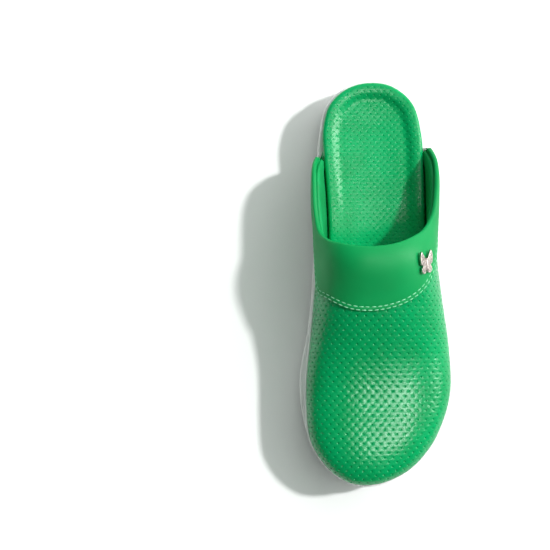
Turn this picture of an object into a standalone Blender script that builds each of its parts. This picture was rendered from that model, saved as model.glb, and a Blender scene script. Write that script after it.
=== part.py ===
"""Open-back garden clog for the left foot, built the way the real one is assembled.

Axes: +Z up, the toe points to -Y, the little-toe (lateral) side is +X.
Origin: middle of the footprint, on the ground.
All driving dimensions are millimetres here and are scaled to metres when a mesh is made.
"""
import math

import bmesh
import bpy
import numpy as np
from mathutils import Matrix, Vector

MM = 0.001
GAP = 0.3                      # clearance kept between neighbouring pieces

# ---------------------------------------------------------------- sole and footbed outlines
# Closed plan outlines, from the back of the heel round the medial side to the toe and back.
SOLE_OUTLINE = [
    (-3, 132.6), (-21, 127.5), (-33, 115), (-36.8, 98), (-38.6, 78), (-39.7, 45), (-41, 8),
    (-44, -27), (-49, -56), (-49.2, -77), (-44.8, -98), (-35, -117), (-21, -128.5),
    (-7, -132.6), (9, -129.5), (25, -119), (39, -101), (47.3, -80), (49.5, -61), (46.8, -30),
    (42, 3), (39.2, 38), (36, 72), (31.8, 98), (26, 117), (13.5, 129),
]
FOOTBED_OUTLINE = [
    (-4.5, 130.2), (-19, 126.5), (-30.5, 116), (-34.8, 101), (-34.6, 86), (-32, 56), (-31, 28),
    (-32.5, 0), (-36.8, -36), (-39, -66), (-37.6, -92), (-30, -110), (-18, -120.6),
    (-7, -123.4), (6, -120.6), (20.5, -110.5), (33, -94), (40.6, -75), (41.7, -60),
    (37.2, -24), (32.2, 12), (31.3, 42), (30.2, 74), (29, 96), (23.5, 116), (10.5, 127.5),
]

# ---------------------------------------------------------------- heights along the shoe
HEEL_END = 132.6
TOE_END = -132.6
LEDGE_HEIGHT = [(-132.6, 26), (-90, 21.5), (-60, 20.5), (-20, 22), (20, 25), (60, 26.8),
                (132.6, 27.5)]
TOE_SPRING_START = -72
TOE_SPRING = 7.0
HEEL_BEVEL_START = 112
HEEL_BEVEL = 2.0
PAD_STAND = 1.5                # tread pads stand this far below the moulded sole
# The sole's side wall, bottom to top: inset from the plan outline and height above its reference.
SOLE_WALL_LOW = [(3.2, PAD_STAND), (0.9, PAD_STAND + 1.6), (0.0, PAD_STAND + 5.5)]
SOLE_WALL_HIGH = [(0.3, -5), (0.1, -1.6), (1.2, 0)]

# ---------------------------------------------------------------- pockets and treads of the sole
# Each is ((centre x, centre y), (half width, half length)).
HEEL_POCKET = ((-2.5, 90), (19, 27))
SHANK_POCKET = ((-2.5, 14), (7.5, 43))
FILLER_POCKET = ((0, -74), (29, 36))
HEEL_TREAD = ((-2.5, 86), (29, 38))
FOREFOOT_TREAD = ((0.5, -69), (41, 51))
CUSHION_DEPTH = 8.0
SHANK_DEPTH = 2.4
FILLER_DEPTH = 2.2
TREAD_THICKNESS = 3.2
GROOVE_PITCH = 9.5
GROOVE_WIDTH = 2.6
GROOVE_DEPTH = 1.4

# ---------------------------------------------------------------- footbed
FOOTBED_RISE = 9.0             # top of the rim above the ledge, before the rim's own drop
BOARD_THICK = 1.5
BOARD_INSET = 1.6
COVER_THICK = 1.0
FOAM_CLEAR = 1.0               # room between the foam and the cover
RIM_HEIGHT = [(-125, 0.4), (-60, 1.0), (0, 2.4), (60, 3.0), (130, 3.4)]
ARCH_CENTRE = (-22, 22)
ARCH_SPREAD = (12, 30)
ARCH_RISE = 2.2
# Cross-section of the raised rim: distance in from the edge, share of the rim's height given up.
RIM_PROFILE = [(0.8, 0.30), (2.4, 0.0), (5.2, 0.15), (7.8, 0.75), (10.2, 1.0)]
FOAM_PROFILE = [(2.1, 0.30), (3.0, 0.0), (5.2, 0.15), (7.0, 0.75), (9.2, 1.0)]
SKIRT_TOP = 3.4                # the cover's side stands straight up to this height

# ---------------------------------------------------------------- rand
RAND_THICK = 1.3
RAND_TOP = 3.2
RAND_CHAMFER = 0.5
RAND_SHARE = 0.07              # share of the section parameter that the rand covers
RAND_MEDIAL_END = 60
RAND_LATERAL_END = 68

# ---------------------------------------------------------------- upper: one master surface
# Widest plan line of the upper, from the back of the medial wing round the toe to the lateral wing.
UPPER_OUTLINE = [
    (-34.5, 90), (-38.6, 82), (-41.3, 72), (-41.6, 51), (-40.1, 30), (-39.6, 9), (-41, -12),
    (-43, -36), (-45.2, -58), (-45.6, -78), (-43.1, -101), (-33.5, -117.4), (-20.3, -127.8),
    (-8, -130.4), (6, -128.2), (22, -119.7), (35, -105.5), (42.6, -90.5), (47.2, -75),
    (48.3, -60), (46.3, -36), (42.2, -10), (39, 11), (37.4, 30), (37.9, 51), (37.9, 70),
    (36, 82), (31, 94),
]
FAN_CENTRE_Y = -84             # ahead of this line the sections fan round the toe
FAN_CENTRE_X = -4.0
FAN_LENGTH = 60.0              # station length that the quarter turn of the fan stands for
SPINE_X = [(-84, -4), (-30, -6), (30, -6), (94, -3)]
RIDGE_HEIGHT = [(-84, 51), (-70, 51.7), (-50, 55.5), (-15, 69.5), (22, 84), (33, 79), (45, 74.5),
                (60, 71), (94, 64)]
WIDEST_HEIGHT = [(-132.6, 35), (-90, 31), (-60, 30), (-20, 34), (20, 43), (42, 48.5), (66, 50),
                 (94, 43)]
MEDIAL_TUCK = [(-132.6, 1.2), (-60, 1.2), (-20, 1.4), (20, 2.2), (50, 3.8), (70, 3.8), (90, 0.6)]
LATERAL_TUCK = [(-132.6, 1.2), (-60, 1.2), (-20, 1.4), (20, 1.6), (60, 2.2), (78, 2.4), (94, 0.6)]
SQUARENESS = [(-84, 2.8), (-40, 2.5), (0, 2.3), (94, 2.3)]
WALL_SHARE = 0.25              # share of the section parameter below the widest line

# Seam between vamp and collar: station y against the section parameter, one list per side.
MEDIAL_SEAM = [(0, -15), (0.14, -13.8), (0.26, -10.7), (0.39, -7.1), (0.56, -2.5), (0.66, 8),
               (0.75, 22), (0.85, 40), (0.95, 56), (1.0, 64)]
LATERAL_SEAM = [(0, -15), (0.11, -13), (0.24, -8), (0.36, -1), (0.47, 8), (0.58, 20), (0.69, 34),
                (0.78, 46), (0.87, 58), (0.95, 69), (1.0, 76)]
# Topline of the collar as (station y, section parameter), from the throat back to the wing tip.
MEDIAL_TOPLINE = [(22.3, 0), (22.9, 0.11), (24.4, 0.24), (26.6, 0.39), (31.6, 0.53), (40, 0.595),
                  (58, 0.635), (69, 0.665), (76, 0.73), (80, 0.81), (82, 0.87)]
LATERAL_TOPLINE = [(22.3, 0), (23.4, 0.10), (25.4, 0.19), (29.0, 0.30), (33.5, 0.41), (43, 0.53),
                   (57, 0.61), (71, 0.655), (79, 0.72), (84.5, 0.80), (88, 0.87)]
# Lower edge of the collar behind the seam, from the rand's end to the wing tip.
MEDIAL_HEM = [(56, 0.91), (66, 0.91), (75, 0.95), (83, 0.96)]
LATERAL_HEM = [(66, 0.91), (72, 0.91), (81, 0.95), (89, 0.96)]

# Layers of the upper as distances outward from the master surface.
BAND_OUT, BAND_IN = 1.4, 0.4
VAMP_OUT, VAMP_IN = 0.0, -1.3
FOAM_OUT, FOAM_IN = -0.3, -1.3
PUFF_OUT, PUFF_IN = -1.7, -2.4
LINING_OUT, LINING_THICK = -2.2, 0.9
PUFF_ROOM = 0.8                # the lining stands this much deeper where the toe puff is
UNDERLAP = 8.5                 # the vamp runs this far under the collar band
BAND_DROP = 2.2                # the band's lower edge lies this far in front of the seam
BAND_SEAM_END = 0.84           # section parameter where the seam gives way to the hem
INNER_HEM = 0.97               # section parameter of the inner layers' lower edge
MEDIAL_LAYER_END = 75          # station y where the inner layers of each wing end
LATERAL_LAYER_END = 78
BAND_TRIM, FOAM_TRIM, LINING_TRIM = 3.1, 3.4, 0.2   # distance of each layer from the topline
BINDING_RADIUS = 1.3
BINDING_LIFT = 0.5

# ---------------------------------------------------------------- small pieces
THREAD_RADIUS = 0.35
STITCH_PITCH = 3.8
ROW_SPACING = 2.3
STITCH_RISE = 0.25             # every other stitch point stands this much prouder
BARTACK_STATION = 68
BARTACK_LENGTH = 4.4
BARTACK_POINTS = 9
BARTACK_T, BARTACK_T_STEP = 0.76, 0.015
CHARM_STATION = (13.3, 0.375)  # station y and section parameter, lateral side
CHARM_THICK = 1.6
CHARM_LEAN = -0.25             # sideways lean of the charm's head against the heel direction
BUTTERFLY_HALF = [(0.45, -3.6), (1.3, -5.8), (3.0, -6.2), (4.3, -4.9), (4.4, -2.9), (3.5, -1.1),
                  (4.9, 0.0), (5.5, 2.6), (5.4, 5.6), (4.4, 8.0), (2.9, 6.6), (1.4, 4.0), (0.45, 2.6)]
POST_RADIUS = 0.8
POST_LENGTH = 7.6
WASHER_RADIUS, WASHER_THICK = 3.4, 0.6
WASHER_CLEAR = 0.6             # the lining curves inward here, so the washer stands off it
CLUTCH_RADIUS, CLUTCH_THICK = 2.4, 1.8

COLOURS = {
    "leather": ((0.0, 0.36, 0.10), 0.45, 0.0),
    "band": ((0.0, 0.33, 0.09), 0.32, 0.0),
    "lining": ((0.0, 0.28, 0.08), 0.6, 0.0),
    "thread": ((0.10, 0.64, 0.31), 0.7, 0.0),
    "sole": ((0.86, 0.86, 0.84), 0.5, 0.0),
    "tread": ((0.80, 0.80, 0.78), 0.7, 0.0),
    "foam": ((0.72, 0.72, 0.62), 0.9, 0.0),
    "board": ((0.42, 0.30, 0.18), 0.85, 0.0),
    "steel": ((0.62, 0.62, 0.62), 0.35, 1.0),
    "silver": ((0.78, 0.75, 0.72), 0.25, 1.0),
}


# ================================================================ curves and interpolation
def smooth_table(table, value):
    """Value of a smooth curve through (key, value) pairs, held level past both ends."""
    keys = np.array([pair[0] for pair in table], dtype=float)
    vals = np.array([pair[1] for pair in table], dtype=float)
    slopes = np.gradient(vals, keys)
    slopes[0] = 0.0
    slopes[-1] = 0.0
    value = np.clip(np.asarray(value, dtype=float), keys[0], keys[-1])
    index = np.clip(np.searchsorted(keys, value, side="right") - 1, 0, len(keys) - 2)
    step = keys[index + 1] - keys[index]
    s = (value - keys[index]) / step
    start = (2 * s**3 - 3 * s**2 + 1) * vals[index] + (s**3 - 2 * s**2 + s) * step * slopes[index]
    end = (3 * s**2 - 2 * s**3) * vals[index + 1] + (s**3 - s**2) * step * slopes[index + 1]
    return start + end


def spline(points, per_segment, closed):
    """Dense points on a Catmull-Rom curve through hand-placed points."""
    pts = np.array(points, dtype=float)
    if closed:
        pts = np.vstack([pts[-1], pts, pts[0], pts[1]])
    else:
        pts = np.vstack([2 * pts[0] - pts[1], pts, 2 * pts[-1] - pts[-2]])
    s = np.linspace(0, 1, per_segment, endpoint=False)[:, None]
    runs = []
    for a, b, c, d in zip(pts[:-3], pts[1:-2], pts[2:-1], pts[3:]):
        runs.append(0.5 * (2 * b + (c - a) * s + (2 * a - 5 * b + 4 * c - d) * s**2
                           + (3 * b - a - 3 * c + d) * s**3))
    curve = np.vstack(runs)
    return curve if closed else np.vstack([curve, pts[-2]])


def resample(curve, count, closed):
    """Points at equal distances along a dense curve."""
    path = np.vstack([curve, curve[:1]]) if closed else curve
    lengths = np.concatenate([[0], np.cumsum(np.linalg.norm(np.diff(path, axis=0), axis=1))])
    marks = np.linspace(0, lengths[-1], count, endpoint=not closed)
    return np.column_stack([np.interp(marks, lengths, column) for column in path.T])


def inset_ring(ring, distance):
    """A closed plan ring moved inward by a distance."""
    along = np.roll(ring, -1, axis=0) - np.roll(ring, 1, axis=0)
    along /= np.linalg.norm(along, axis=1)[:, None]
    inward = np.column_stack([-along[:, 1], along[:, 0]])
    return ring + inward * distance


# ================================================================ heights
def ledge(y):
    return smooth_table(LEDGE_HEIGHT, y)


def ground_clearance(y):
    """Height of the underside above the ground: toe spring in front, bevel at the heel."""
    front = np.clip((TOE_SPRING_START - y) / (TOE_SPRING_START - TOE_END), 0, 1)
    back = np.clip((y - HEEL_BEVEL_START) / (HEEL_END - HEEL_BEVEL_START), 0, 1)
    return TOE_SPRING * front**2 + HEEL_BEVEL * back**2


# ================================================================ master surface of the upper
OUTLINE_CURVE = spline(UPPER_OUTLINE, 24, False)
TOE_INDEX = int(np.argmin(OUTLINE_CURVE[:, 1]))


def outline_reach(station_y, turn, side):
    """Distance from the spine to the widest line, along the section's direction."""
    half = OUTLINE_CURVE[:TOE_INDEX + 1] if side < 0 else OUTLINE_CURVE[TOE_INDEX:]
    order = np.argsort(half[:, 1])
    widest_x = np.interp(station_y, half[order, 1], half[order, 0])
    straight = np.abs(widest_x - smooth_table(SPINE_X, station_y))
    offset = OUTLINE_CURVE - np.array([FAN_CENTRE_X, FAN_CENTRE_Y])
    angle = np.arctan2(-offset[:, 1], side * offset[:, 0])
    ahead = np.argsort(angle)
    radius = np.linalg.norm(offset, axis=1)
    fanned = np.interp(turn, angle[ahead], radius[ahead])
    return np.where(turn > 0, fanned, straight)


def master_point(station, t):
    """Point of the upper's outer surface.

    station is the distance behind the fan centre, negative inside the toe fan.
    t runs from -1 (medial base) over 0 (ridge) to 1 (lateral base).
    """
    station, t = np.broadcast_arrays(np.asarray(station, float), np.asarray(t, float))
    y = FAN_CENTRE_Y + np.maximum(station, 0)
    turn = np.maximum(-station, 0) / FAN_LENGTH * math.pi / 2
    side = np.where(t < 0, -1.0, 1.0)
    reach = np.where(side < 0, outline_reach(y, turn, -1), outline_reach(y, turn, 1))
    edge_y = y - np.sin(turn) * reach
    tuck = np.where(side < 0, smooth_table(MEDIAL_TUCK, edge_y), smooth_table(LATERAL_TUCK, edge_y))
    widest = smooth_table(WIDEST_HEIGHT, edge_y)
    base = ledge(edge_y) + GAP
    ridge = smooth_table(RIDGE_HEIGHT, y)
    power = 2 / smooth_table(SQUARENESS, y)
    share = np.abs(t)
    phi = np.clip(share / (1 - WALL_SHARE), 0, 1) * math.pi / 2
    wall = np.clip((share - (1 - WALL_SHARE)) / WALL_SHARE, 0, 1)
    out = reach * np.sin(phi) ** power - tuck * (1 - np.cos(wall * math.pi / 2))
    cosine = np.clip(np.cos(phi), 0, 1)
    height = widest + (ridge - widest) * cosine**power - (widest - base) * wall
    x = smooth_table(SPINE_X, y) + side * np.cos(turn) * out
    return np.stack([x, y - np.sin(turn) * out, height], axis=-1)


def surface_normal(station, t):
    """Outward unit normal of the master surface."""
    ds, dt = 0.5, 0.01
    along = master_point(station + ds, t) - master_point(station - ds, t)
    sideways = master_point(station, np.minimum(t + dt, 1)) - master_point(station, np.maximum(t - dt, -1))
    normal = np.cross(sideways, along)
    size = np.linalg.norm(normal, axis=-1, keepdims=True)
    return np.where(size > 1e-6, normal / np.maximum(size, 1e-6), np.array([0, 0, 1.0]))


def upper_point(station, t, lift):
    """Point at a distance outward from the master surface."""
    station, t = np.broadcast_arrays(np.asarray(station, float), np.asarray(t, float))
    normal = surface_normal(station, t)
    pole = (station < 0) & (np.abs(t) < 1e-9)
    normal = np.where(pole[..., None], surface_normal(0 * station, 0 * t), normal)
    return master_point(station, t) + normal * np.asarray(lift, float)[..., None]


def seam_station(t, side):
    table = MEDIAL_SEAM if side < 0 else LATERAL_SEAM
    return smooth_table(table, abs(t)) - FAN_CENTRE_Y


# ================================================================ mesh helpers
def material(key):
    mat = bpy.data.materials.get(key)
    if mat is None:
        mat = bpy.data.materials.new(key)
        mat.use_nodes = True
        colour, roughness, metallic = COLOURS[key]
        shader = mat.node_tree.nodes["Principled BSDF"]
        shader.inputs["Base Color"].default_value = (*colour, 1)
        shader.inputs["Roughness"].default_value = roughness
        shader.inputs["Metallic"].default_value = metallic
    return mat


def new_object(name, data, key, collection):
    obj = bpy.data.objects.new(name, data)
    collection.objects.link(obj)
    if key:
        data.materials.append(material(key))
    return obj


def mesh_from(name, points, faces, merge=0.00001):
    """Mesh in metres from millimetre points, with coincident points merged."""
    bm = bmesh.new()
    verts = [bm.verts.new(Vector(p) * MM) for p in points]
    for face in faces:
        corners = [verts[i] for i in dict.fromkeys(face)]
        if len(corners) > 2:
            bm.faces.new(corners)
    bmesh.ops.remove_doubles(bm, verts=bm.verts, dist=merge)
    bmesh.ops.dissolve_degenerate(bm, edges=bm.edges, dist=merge)
    bmesh.ops.recalc_face_normals(bm, faces=bm.faces)
    mesh = bpy.data.meshes.new(name)
    bm.to_mesh(mesh)
    bm.free()
    mesh.shade_smooth()
    mesh.set_sharp_from_angle(angle=math.radians(40))
    return mesh


def grid_faces(rows, columns, wrap=False):
    """Quads of a grid stored row by row."""
    last = columns if wrap else columns - 1
    faces = []
    for i in range(rows - 1):
        here, there = i * columns, (i + 1) * columns
        for j in range(last):
            k = (j + 1) % columns
            faces.append((here + j, here + k, there + k, there + j))
    return faces


def ladder_cap(ring, columns, height):
    """Points and faces that close a ring with rungs from its medial to its lateral half."""
    count = len(ring)
    half = count // 2
    points = []
    index = {}

    def corner(i, j):
        if i in (0, half):
            return i
        if j == 0:
            return i
        if j == columns:
            return count - i
        return index[(i, j)]

    for i in range(1, half):
        for j in range(1, columns):
            x, y = ring[i, :2] + (ring[count - i, :2] - ring[i, :2]) * j / columns
            index[(i, j)] = count + len(points)
            points.append((x, y, float(height(x, y))))
    faces = []
    for i in range(half):
        for j in range(columns):
            faces.append((corner(i, j), corner(i, j + 1), corner(i + 1, j + 1), corner(i + 1, j)))
    return points, faces


def ring_stack(outline, levels):
    """Rings of (inset, height function) pairs as 3-D points."""
    rings = []
    for inset, height in levels:
        flat = inset_ring(outline, inset)
        rings.append(np.column_stack([flat, height(flat[:, 0], flat[:, 1])]))
    return rings


def stacked_solid(name, outline, levels, key, collection, columns=4):
    """Closed solid from plan rings, bottom to top, capped at both ends."""
    rings = ring_stack(outline, levels)
    count = len(outline)
    points = [tuple(p) for ring in rings for p in ring]
    faces = grid_faces(len(rings), count, wrap=True)
    for ring, first in ((rings[0], 0), (rings[-1], (len(rings) - 1) * count)):
        height = levels[0][1] if first == 0 else levels[-1][1]
        extra, cap = ladder_cap(ring, columns, height)
        start = len(points) - count
        points.extend(extra)
        for face in cap:
            faces.append(tuple(first + i if i < count else start + i for i in face))
    return new_object(name, mesh_from(name, points, faces), key, collection)


def solid_shell(obj, thickness):
    """Give an open outer surface its thickness, inward."""
    mod = obj.modifiers.new("thickness", "SOLIDIFY")
    mod.thickness = thickness * MM
    mod.offset = -1
    mod.use_even_offset = True
    return obj


def point_outward(mesh, centre):
    """Turn an open surface's faces away from a point inside it."""
    bm = bmesh.new()
    bm.from_mesh(mesh)
    middle = Vector(centre) * MM
    votes = sum((f.calc_center_median() - middle).dot(f.normal) * f.calc_area() for f in bm.faces)
    if votes < 0:
        bmesh.ops.reverse_faces(bm, faces=bm.faces)
    bm.to_mesh(mesh)
    bm.free()


def cut(obj, cutter):
    """Subtract a cutter from an object and keep the cutter as a hidden guide."""
    cutter.hide_render = True
    cutter.display_type = "WIRE"
    mod = obj.modifiers.new("cut_" + cutter.name, "BOOLEAN")
    mod.operation = "DIFFERENCE"
    mod.solver = "EXACT"
    mod.object = cutter


def tube(name, path, radius, key, collection, sides=2):
    """Round cord or wire through millimetre points."""
    curve = bpy.data.curves.new(name, "CURVE")
    curve.dimensions = "3D"
    curve.bevel_depth = radius * MM
    curve.bevel_resolution = sides
    curve.use_fill_caps = True
    line = curve.splines.new("POLY")
    line.points.add(len(path) - 1)
    for point, place in zip(line.points, path):
        point.co = (*(Vector(place) * MM), 1)
    return new_object(name, curve, key, collection)


# ================================================================ paths on the upper
def side_path(table, side):
    """Hand-placed (station y, parameter) pairs as a dense path on one side of the upper."""
    path = spline([(y - FAN_CENTRE_Y, side * t) for y, t in table], 8, False)
    path[:, 1] = side * np.clip(side * path[:, 1], 0, 1)
    return path


def spread(path, count):
    """Evenly spaced stations along a path that lies on the upper."""
    places = master_point(path[:, 0], path[:, 1])
    lengths = np.concatenate([[0], np.cumsum(np.linalg.norm(np.diff(places, axis=0), axis=1))])
    marks = np.linspace(0, lengths[-1], count)
    return np.column_stack([np.interp(marks, lengths, path[:, axis]) for axis in (0, 1)])


def across(medial, lateral, per_side):
    """One path from the medial end over the ridge to the lateral end."""
    left = spread(medial, per_side)[::-1]
    right = spread(lateral, per_side)[1:]
    return np.vstack([left, right])


def slide(path, distance):
    """Move a path sideways on the upper; positive is toward the heel at the ridge."""
    station, t = path[:, 0], path[:, 1]
    places = master_point(station, t)
    tangent = np.gradient(places, axis=0)
    tangent /= np.linalg.norm(tangent, axis=1)[:, None]
    sideways = np.cross(surface_normal(station, t), tangent) * distance
    ds, dt = 0.5, 0.01
    u = (master_point(station + ds, t) - master_point(station - ds, t)) / (2 * ds)
    low, high = np.maximum(t - dt, -1), np.minimum(t + dt, 1)
    v = (master_point(station, high) - master_point(station, low)) / (high - low)[:, None]
    uu, uv, vv = (u * u).sum(1), (u * v).sum(1), (v * v).sum(1)
    us, vs = (u * sideways).sum(1), (v * sideways).sum(1)
    scale = uu * vv - uv * uv
    moved = np.column_stack([station + (us * vv - vs * uv) / scale, t + (vs * uu - us * uv) / scale])
    moved[:, 1] = np.clip(moved[:, 1], -1, 1)
    return moved


def seam_path(side, last):
    """Seam from the ridge down one side, ending where the parameter reaches last."""
    t = np.linspace(0, last, 40)
    return np.column_stack([seam_station(t, side), side * t])


COLUMNS_PER_SIDE = 18
TOPLINE = across(side_path(MEDIAL_TOPLINE, -1), side_path(LATERAL_TOPLINE, 1), COLUMNS_PER_SIDE)
LAYER_ENDS = ((-1, MEDIAL_LAYER_END), (1, LATERAL_LAYER_END))


def band_hem():
    """Lower edge of the band: just in front of the seam, then the hem back to the wing tip."""
    halves = []
    for side, hem in ((-1, MEDIAL_HEM), (1, LATERAL_HEM)):
        front = slide(seam_path(side, BAND_SEAM_END), -side * BAND_DROP)
        halves.append(np.vstack([front, side_path(hem, side)]))
    return across(halves[0], halves[1], COLUMNS_PER_SIDE)


def inner_hem(behind_seam, short_of_end):
    """Lower edge of an inner collar layer: behind the seam, then along the base to its end."""
    halves = []
    for side, end in LAYER_ENDS:
        front = seam_path(side, INNER_HEM) + np.array([behind_seam, 0])
        front = front[front[:, 0] < end - short_of_end - FAN_CENTRE_Y]
        last = [end - short_of_end - FAN_CENTRE_Y, front[-1, 1]]
        halves.append(np.vstack([front, last]))
    return across(halves[0], halves[1], COLUMNS_PER_SIDE)


# ================================================================ shells of the upper
def front_shell(name, lift, thickness, rear, key, collection, skipped=0, rows=13):
    """Shell over the toe and vamp; rear(t, side) gives the station where it ends.

    skipped is the number of grid columns left off above the base on each side.
    """
    fan_rows, half = 9, 13
    steps = np.linspace(0, 1, half + 1)[:half + 1 - skipped]
    ts = np.concatenate([-steps[:0:-1], steps])
    points = []
    for station in np.linspace(-FAN_LENGTH, 0, fan_rows, endpoint=False):
        points.extend(upper_point(station, ts, lift(np.full(ts.shape, station))))
    ends = np.array([rear(abs(t), -1 if t < 0 else 1) for t in ts])
    for share in np.linspace(0, 1, rows):
        stations = ends * share
        points.extend(upper_point(stations, ts, lift(stations)))
    faces = grid_faces(fan_rows + rows, len(ts))
    mesh = mesh_from(name, points, faces, merge=0.00002)
    point_outward(mesh, (0, -60, 20))
    return solid_shell(new_object(name, mesh, key, collection), thickness)


def collar_shell(name, top, bottom, trim, lift, thickness, key, collection, rows=9):
    """Shell ruled between two paths on the upper, trimmed by a distance at its top edge."""
    mixes = np.linspace(0, 1, 21)
    fine = [top * (1 - mix) + bottom * mix for mix in mixes]
    places = np.array([master_point(line[:, 0], line[:, 1]) for line in fine])
    steps = np.linalg.norm(np.diff(places, axis=0), axis=2)
    depth = np.vstack([np.zeros(len(top)), np.cumsum(steps, axis=0)])
    points = []
    for share in np.linspace(0, 1, rows):
        wanted = trim + (depth[-1] - trim) * share
        mix = np.array([np.interp(w, column, mixes) for w, column in zip(wanted, depth.T)])[:, None]
        line = top * (1 - mix) + bottom * mix
        points.extend(upper_point(line[:, 0], line[:, 1], np.full(len(top), lift)))
    mesh = mesh_from(name, points, grid_faces(rows, len(top)))
    point_outward(mesh, (-2, 20, 30))
    return solid_shell(new_object(name, mesh, key, collection), thickness)


def make_vamp(collection):
    front_shell("vamp", lambda s: np.full(s.shape, VAMP_OUT), VAMP_OUT - VAMP_IN,
                lambda t, side: seam_station(t, side) + UNDERLAP, "leather", collection)


def lining_lift(station):
    """Lift of the lining: deeper in the toe, where the puff lies over it."""
    forward = np.clip((34 - station) / 12, 0, 1)
    return LINING_OUT - PUFF_ROOM * forward**2 * (3 - 2 * forward)


def make_vamp_lining(collection):
    front_shell("vamp_lining", lining_lift, LINING_THICK,
                lambda t, side: seam_station(t, side) - 0.5, "lining", collection)


def make_toe_puff(collection):
    front_shell("toe_puff", lambda s: np.full(s.shape, PUFF_OUT), PUFF_OUT - PUFF_IN,
                lambda t, side: 4.0, "board", collection, skipped=1, rows=2)


def make_collar(collection):
    """Band outside, foam in the middle, lining inside; the two inner layers end before the tips."""
    band = collar_shell("collar_band", TOPLINE, band_hem(), BAND_TRIM, BAND_OUT, BAND_OUT - BAND_IN,
                        "band", collection)
    ends = np.where(TOPLINE[:, 1] < 0, MEDIAL_LAYER_END, LATERAL_LAYER_END) - FAN_CENTRE_Y
    short = TOPLINE.copy()
    short[:, 0] = np.minimum(short[:, 0], ends)
    foam = collar_shell("collar_foam", short, inner_hem(UNDERLAP + 1.5, 0), FOAM_TRIM, FOAM_OUT,
                        FOAM_OUT - FOAM_IN, "foam", collection)
    lining = collar_shell("collar_lining", short, inner_hem(0.6, 2), LINING_TRIM, LINING_OUT,
                          LINING_THICK, "lining", collection)
    return band, foam, lining


def make_binding(collection):
    path = upper_point(TOPLINE[:, 0], TOPLINE[:, 1], np.full(len(TOPLINE), BINDING_LIFT))
    smooth = resample(spline(path, 4, False), 56, False)
    tube("topline_binding", smooth, BINDING_RADIUS, "band", collection)


def make_seam_threads(collection):
    """Two rows of lockstitch, each one continuous thread lying on the collar band."""
    seam = across(seam_path(-1, BAND_SEAM_END), seam_path(1, BAND_SEAM_END), 40)
    half = ROW_SPACING / 2
    for name, shift in (("seam_thread_front", -half), ("seam_thread_rear", half)):
        row = slide(seam, shift)
        places = master_point(row[:, 0], row[:, 1])
        length = np.linalg.norm(np.diff(places, axis=0), axis=1).sum()
        row = spread(row, int(length / STITCH_PITCH))
        lift = BAND_OUT + GAP + THREAD_RADIUS + STITCH_RISE * (np.arange(len(row)) % 2)
        tube(name, upper_point(row[:, 0], row[:, 1], lift), THREAD_RADIUS, "thread", collection, sides=0)


def make_bartacks(collection):
    """Short zigzag bars that hold the lining at the back of each wing."""
    for name, side in (("bartack_medial", -1), ("bartack_lateral", 1)):
        spacing = np.linspace(-BARTACK_LENGTH / 2, BARTACK_LENGTH / 2, BARTACK_POINTS)
        t = side * (BARTACK_T + BARTACK_T_STEP * (np.arange(BARTACK_POINTS) % 2))
        lift = np.full(BARTACK_POINTS, LINING_OUT - LINING_THICK - 1.5 * GAP - THREAD_RADIUS)
        path = upper_point(BARTACK_STATION - FAN_CENTRE_Y + spacing, t, lift)
        tube(name, path, THREAD_RADIUS, "thread", collection, sides=0)


# ================================================================ sole and footbed
def sole_ring(count=64):
    return resample(spline(SOLE_OUTLINE, 12, True), count, True)


def footbed_ring(count=52):
    return resample(spline(FOOTBED_OUTLINE, 12, True), count, True)


def oval_ring(centre, radii, count, squareness=2.6):
    """Rounded plan outline starting at its heel end, running round the medial side."""
    angle = math.pi / 2 + np.linspace(0, 2 * math.pi, count, endpoint=False)
    c, s = np.cos(angle), np.sin(angle)
    x = centre[0] + radii[0] * np.sign(c) * np.abs(c) ** (2 / squareness)
    y = centre[1] + radii[1] * np.sign(s) * np.abs(s) ** (2 / squareness)
    return np.column_stack([x, y])


def above_ledge(offset):
    return lambda x, y: ledge(y) + offset


def above_ground(offset):
    return lambda x, y: ground_clearance(y) + offset


def make_pocket_piece(name, pocket, depth, key, sole, collection, cutters):
    """A piece let into the top of the sole, with the pocket cut for it."""
    centre, radii = pocket
    hole = oval_ring(centre, radii, 28)
    cutter = stacked_solid(name + "_pocket", hole, [(0, above_ledge(-depth)), (0, above_ledge(4))],
                           None, cutters, columns=2)
    cut(sole, cutter)
    levels = [(GAP, above_ledge(GAP - depth)), (GAP, above_ledge(0))]
    stacked_solid(name, hole, levels, key, collection, columns=2)


BAR_SIDES = ((0, 1, 3, 2), (4, 6, 7, 5), (0, 4, 5, 1), (2, 3, 7, 6), (0, 2, 6, 4), (1, 5, 7, 3))


def groove_cutter(name, centre, radii, cutters):
    """Transverse bars that cut the tread grooves, following the curve of the underside."""
    points, faces = [], []
    lines = int(2 * radii[1] / GROOVE_PITCH)
    for k in range(lines):
        middle = centre[1] + (k - (lines - 1) / 2) * GROOVE_PITCH
        start = len(points)
        for x in (centre[0] - radii[0] - 5, centre[0] + radii[0] + 5):
            for y in (middle - GROOVE_WIDTH / 2, middle + GROOVE_WIDTH / 2):
                floor = float(ground_clearance(middle))
                points.append((x, y, floor - 3))
                points.append((x, y, floor + GROOVE_DEPTH))
        for corners in BAR_SIDES:
            faces.append(tuple(start + i for i in corners))
    return new_object(name, mesh_from(name, points, faces), None, cutters)


def make_tread(name, tread, sole, collection, cutters):
    """Rubber tread pad let into the underside, with grooves across it."""
    centre, radii = tread
    outline = oval_ring(centre, radii, 32, 2.4)
    hole = [(0, above_ground(-3)), (0, above_ground(TREAD_THICKNESS + GAP))]
    cut(sole, stacked_solid(name + "_pocket", outline, hole, None, cutters))
    levels = [(GAP + 1, above_ground(0)), (GAP, above_ground(1)), (GAP, above_ground(TREAD_THICKNESS))]
    pad = stacked_solid(name, outline, levels, "tread", collection)
    cut(pad, groove_cutter(name + "_grooves", centre, radii, cutters))


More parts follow.
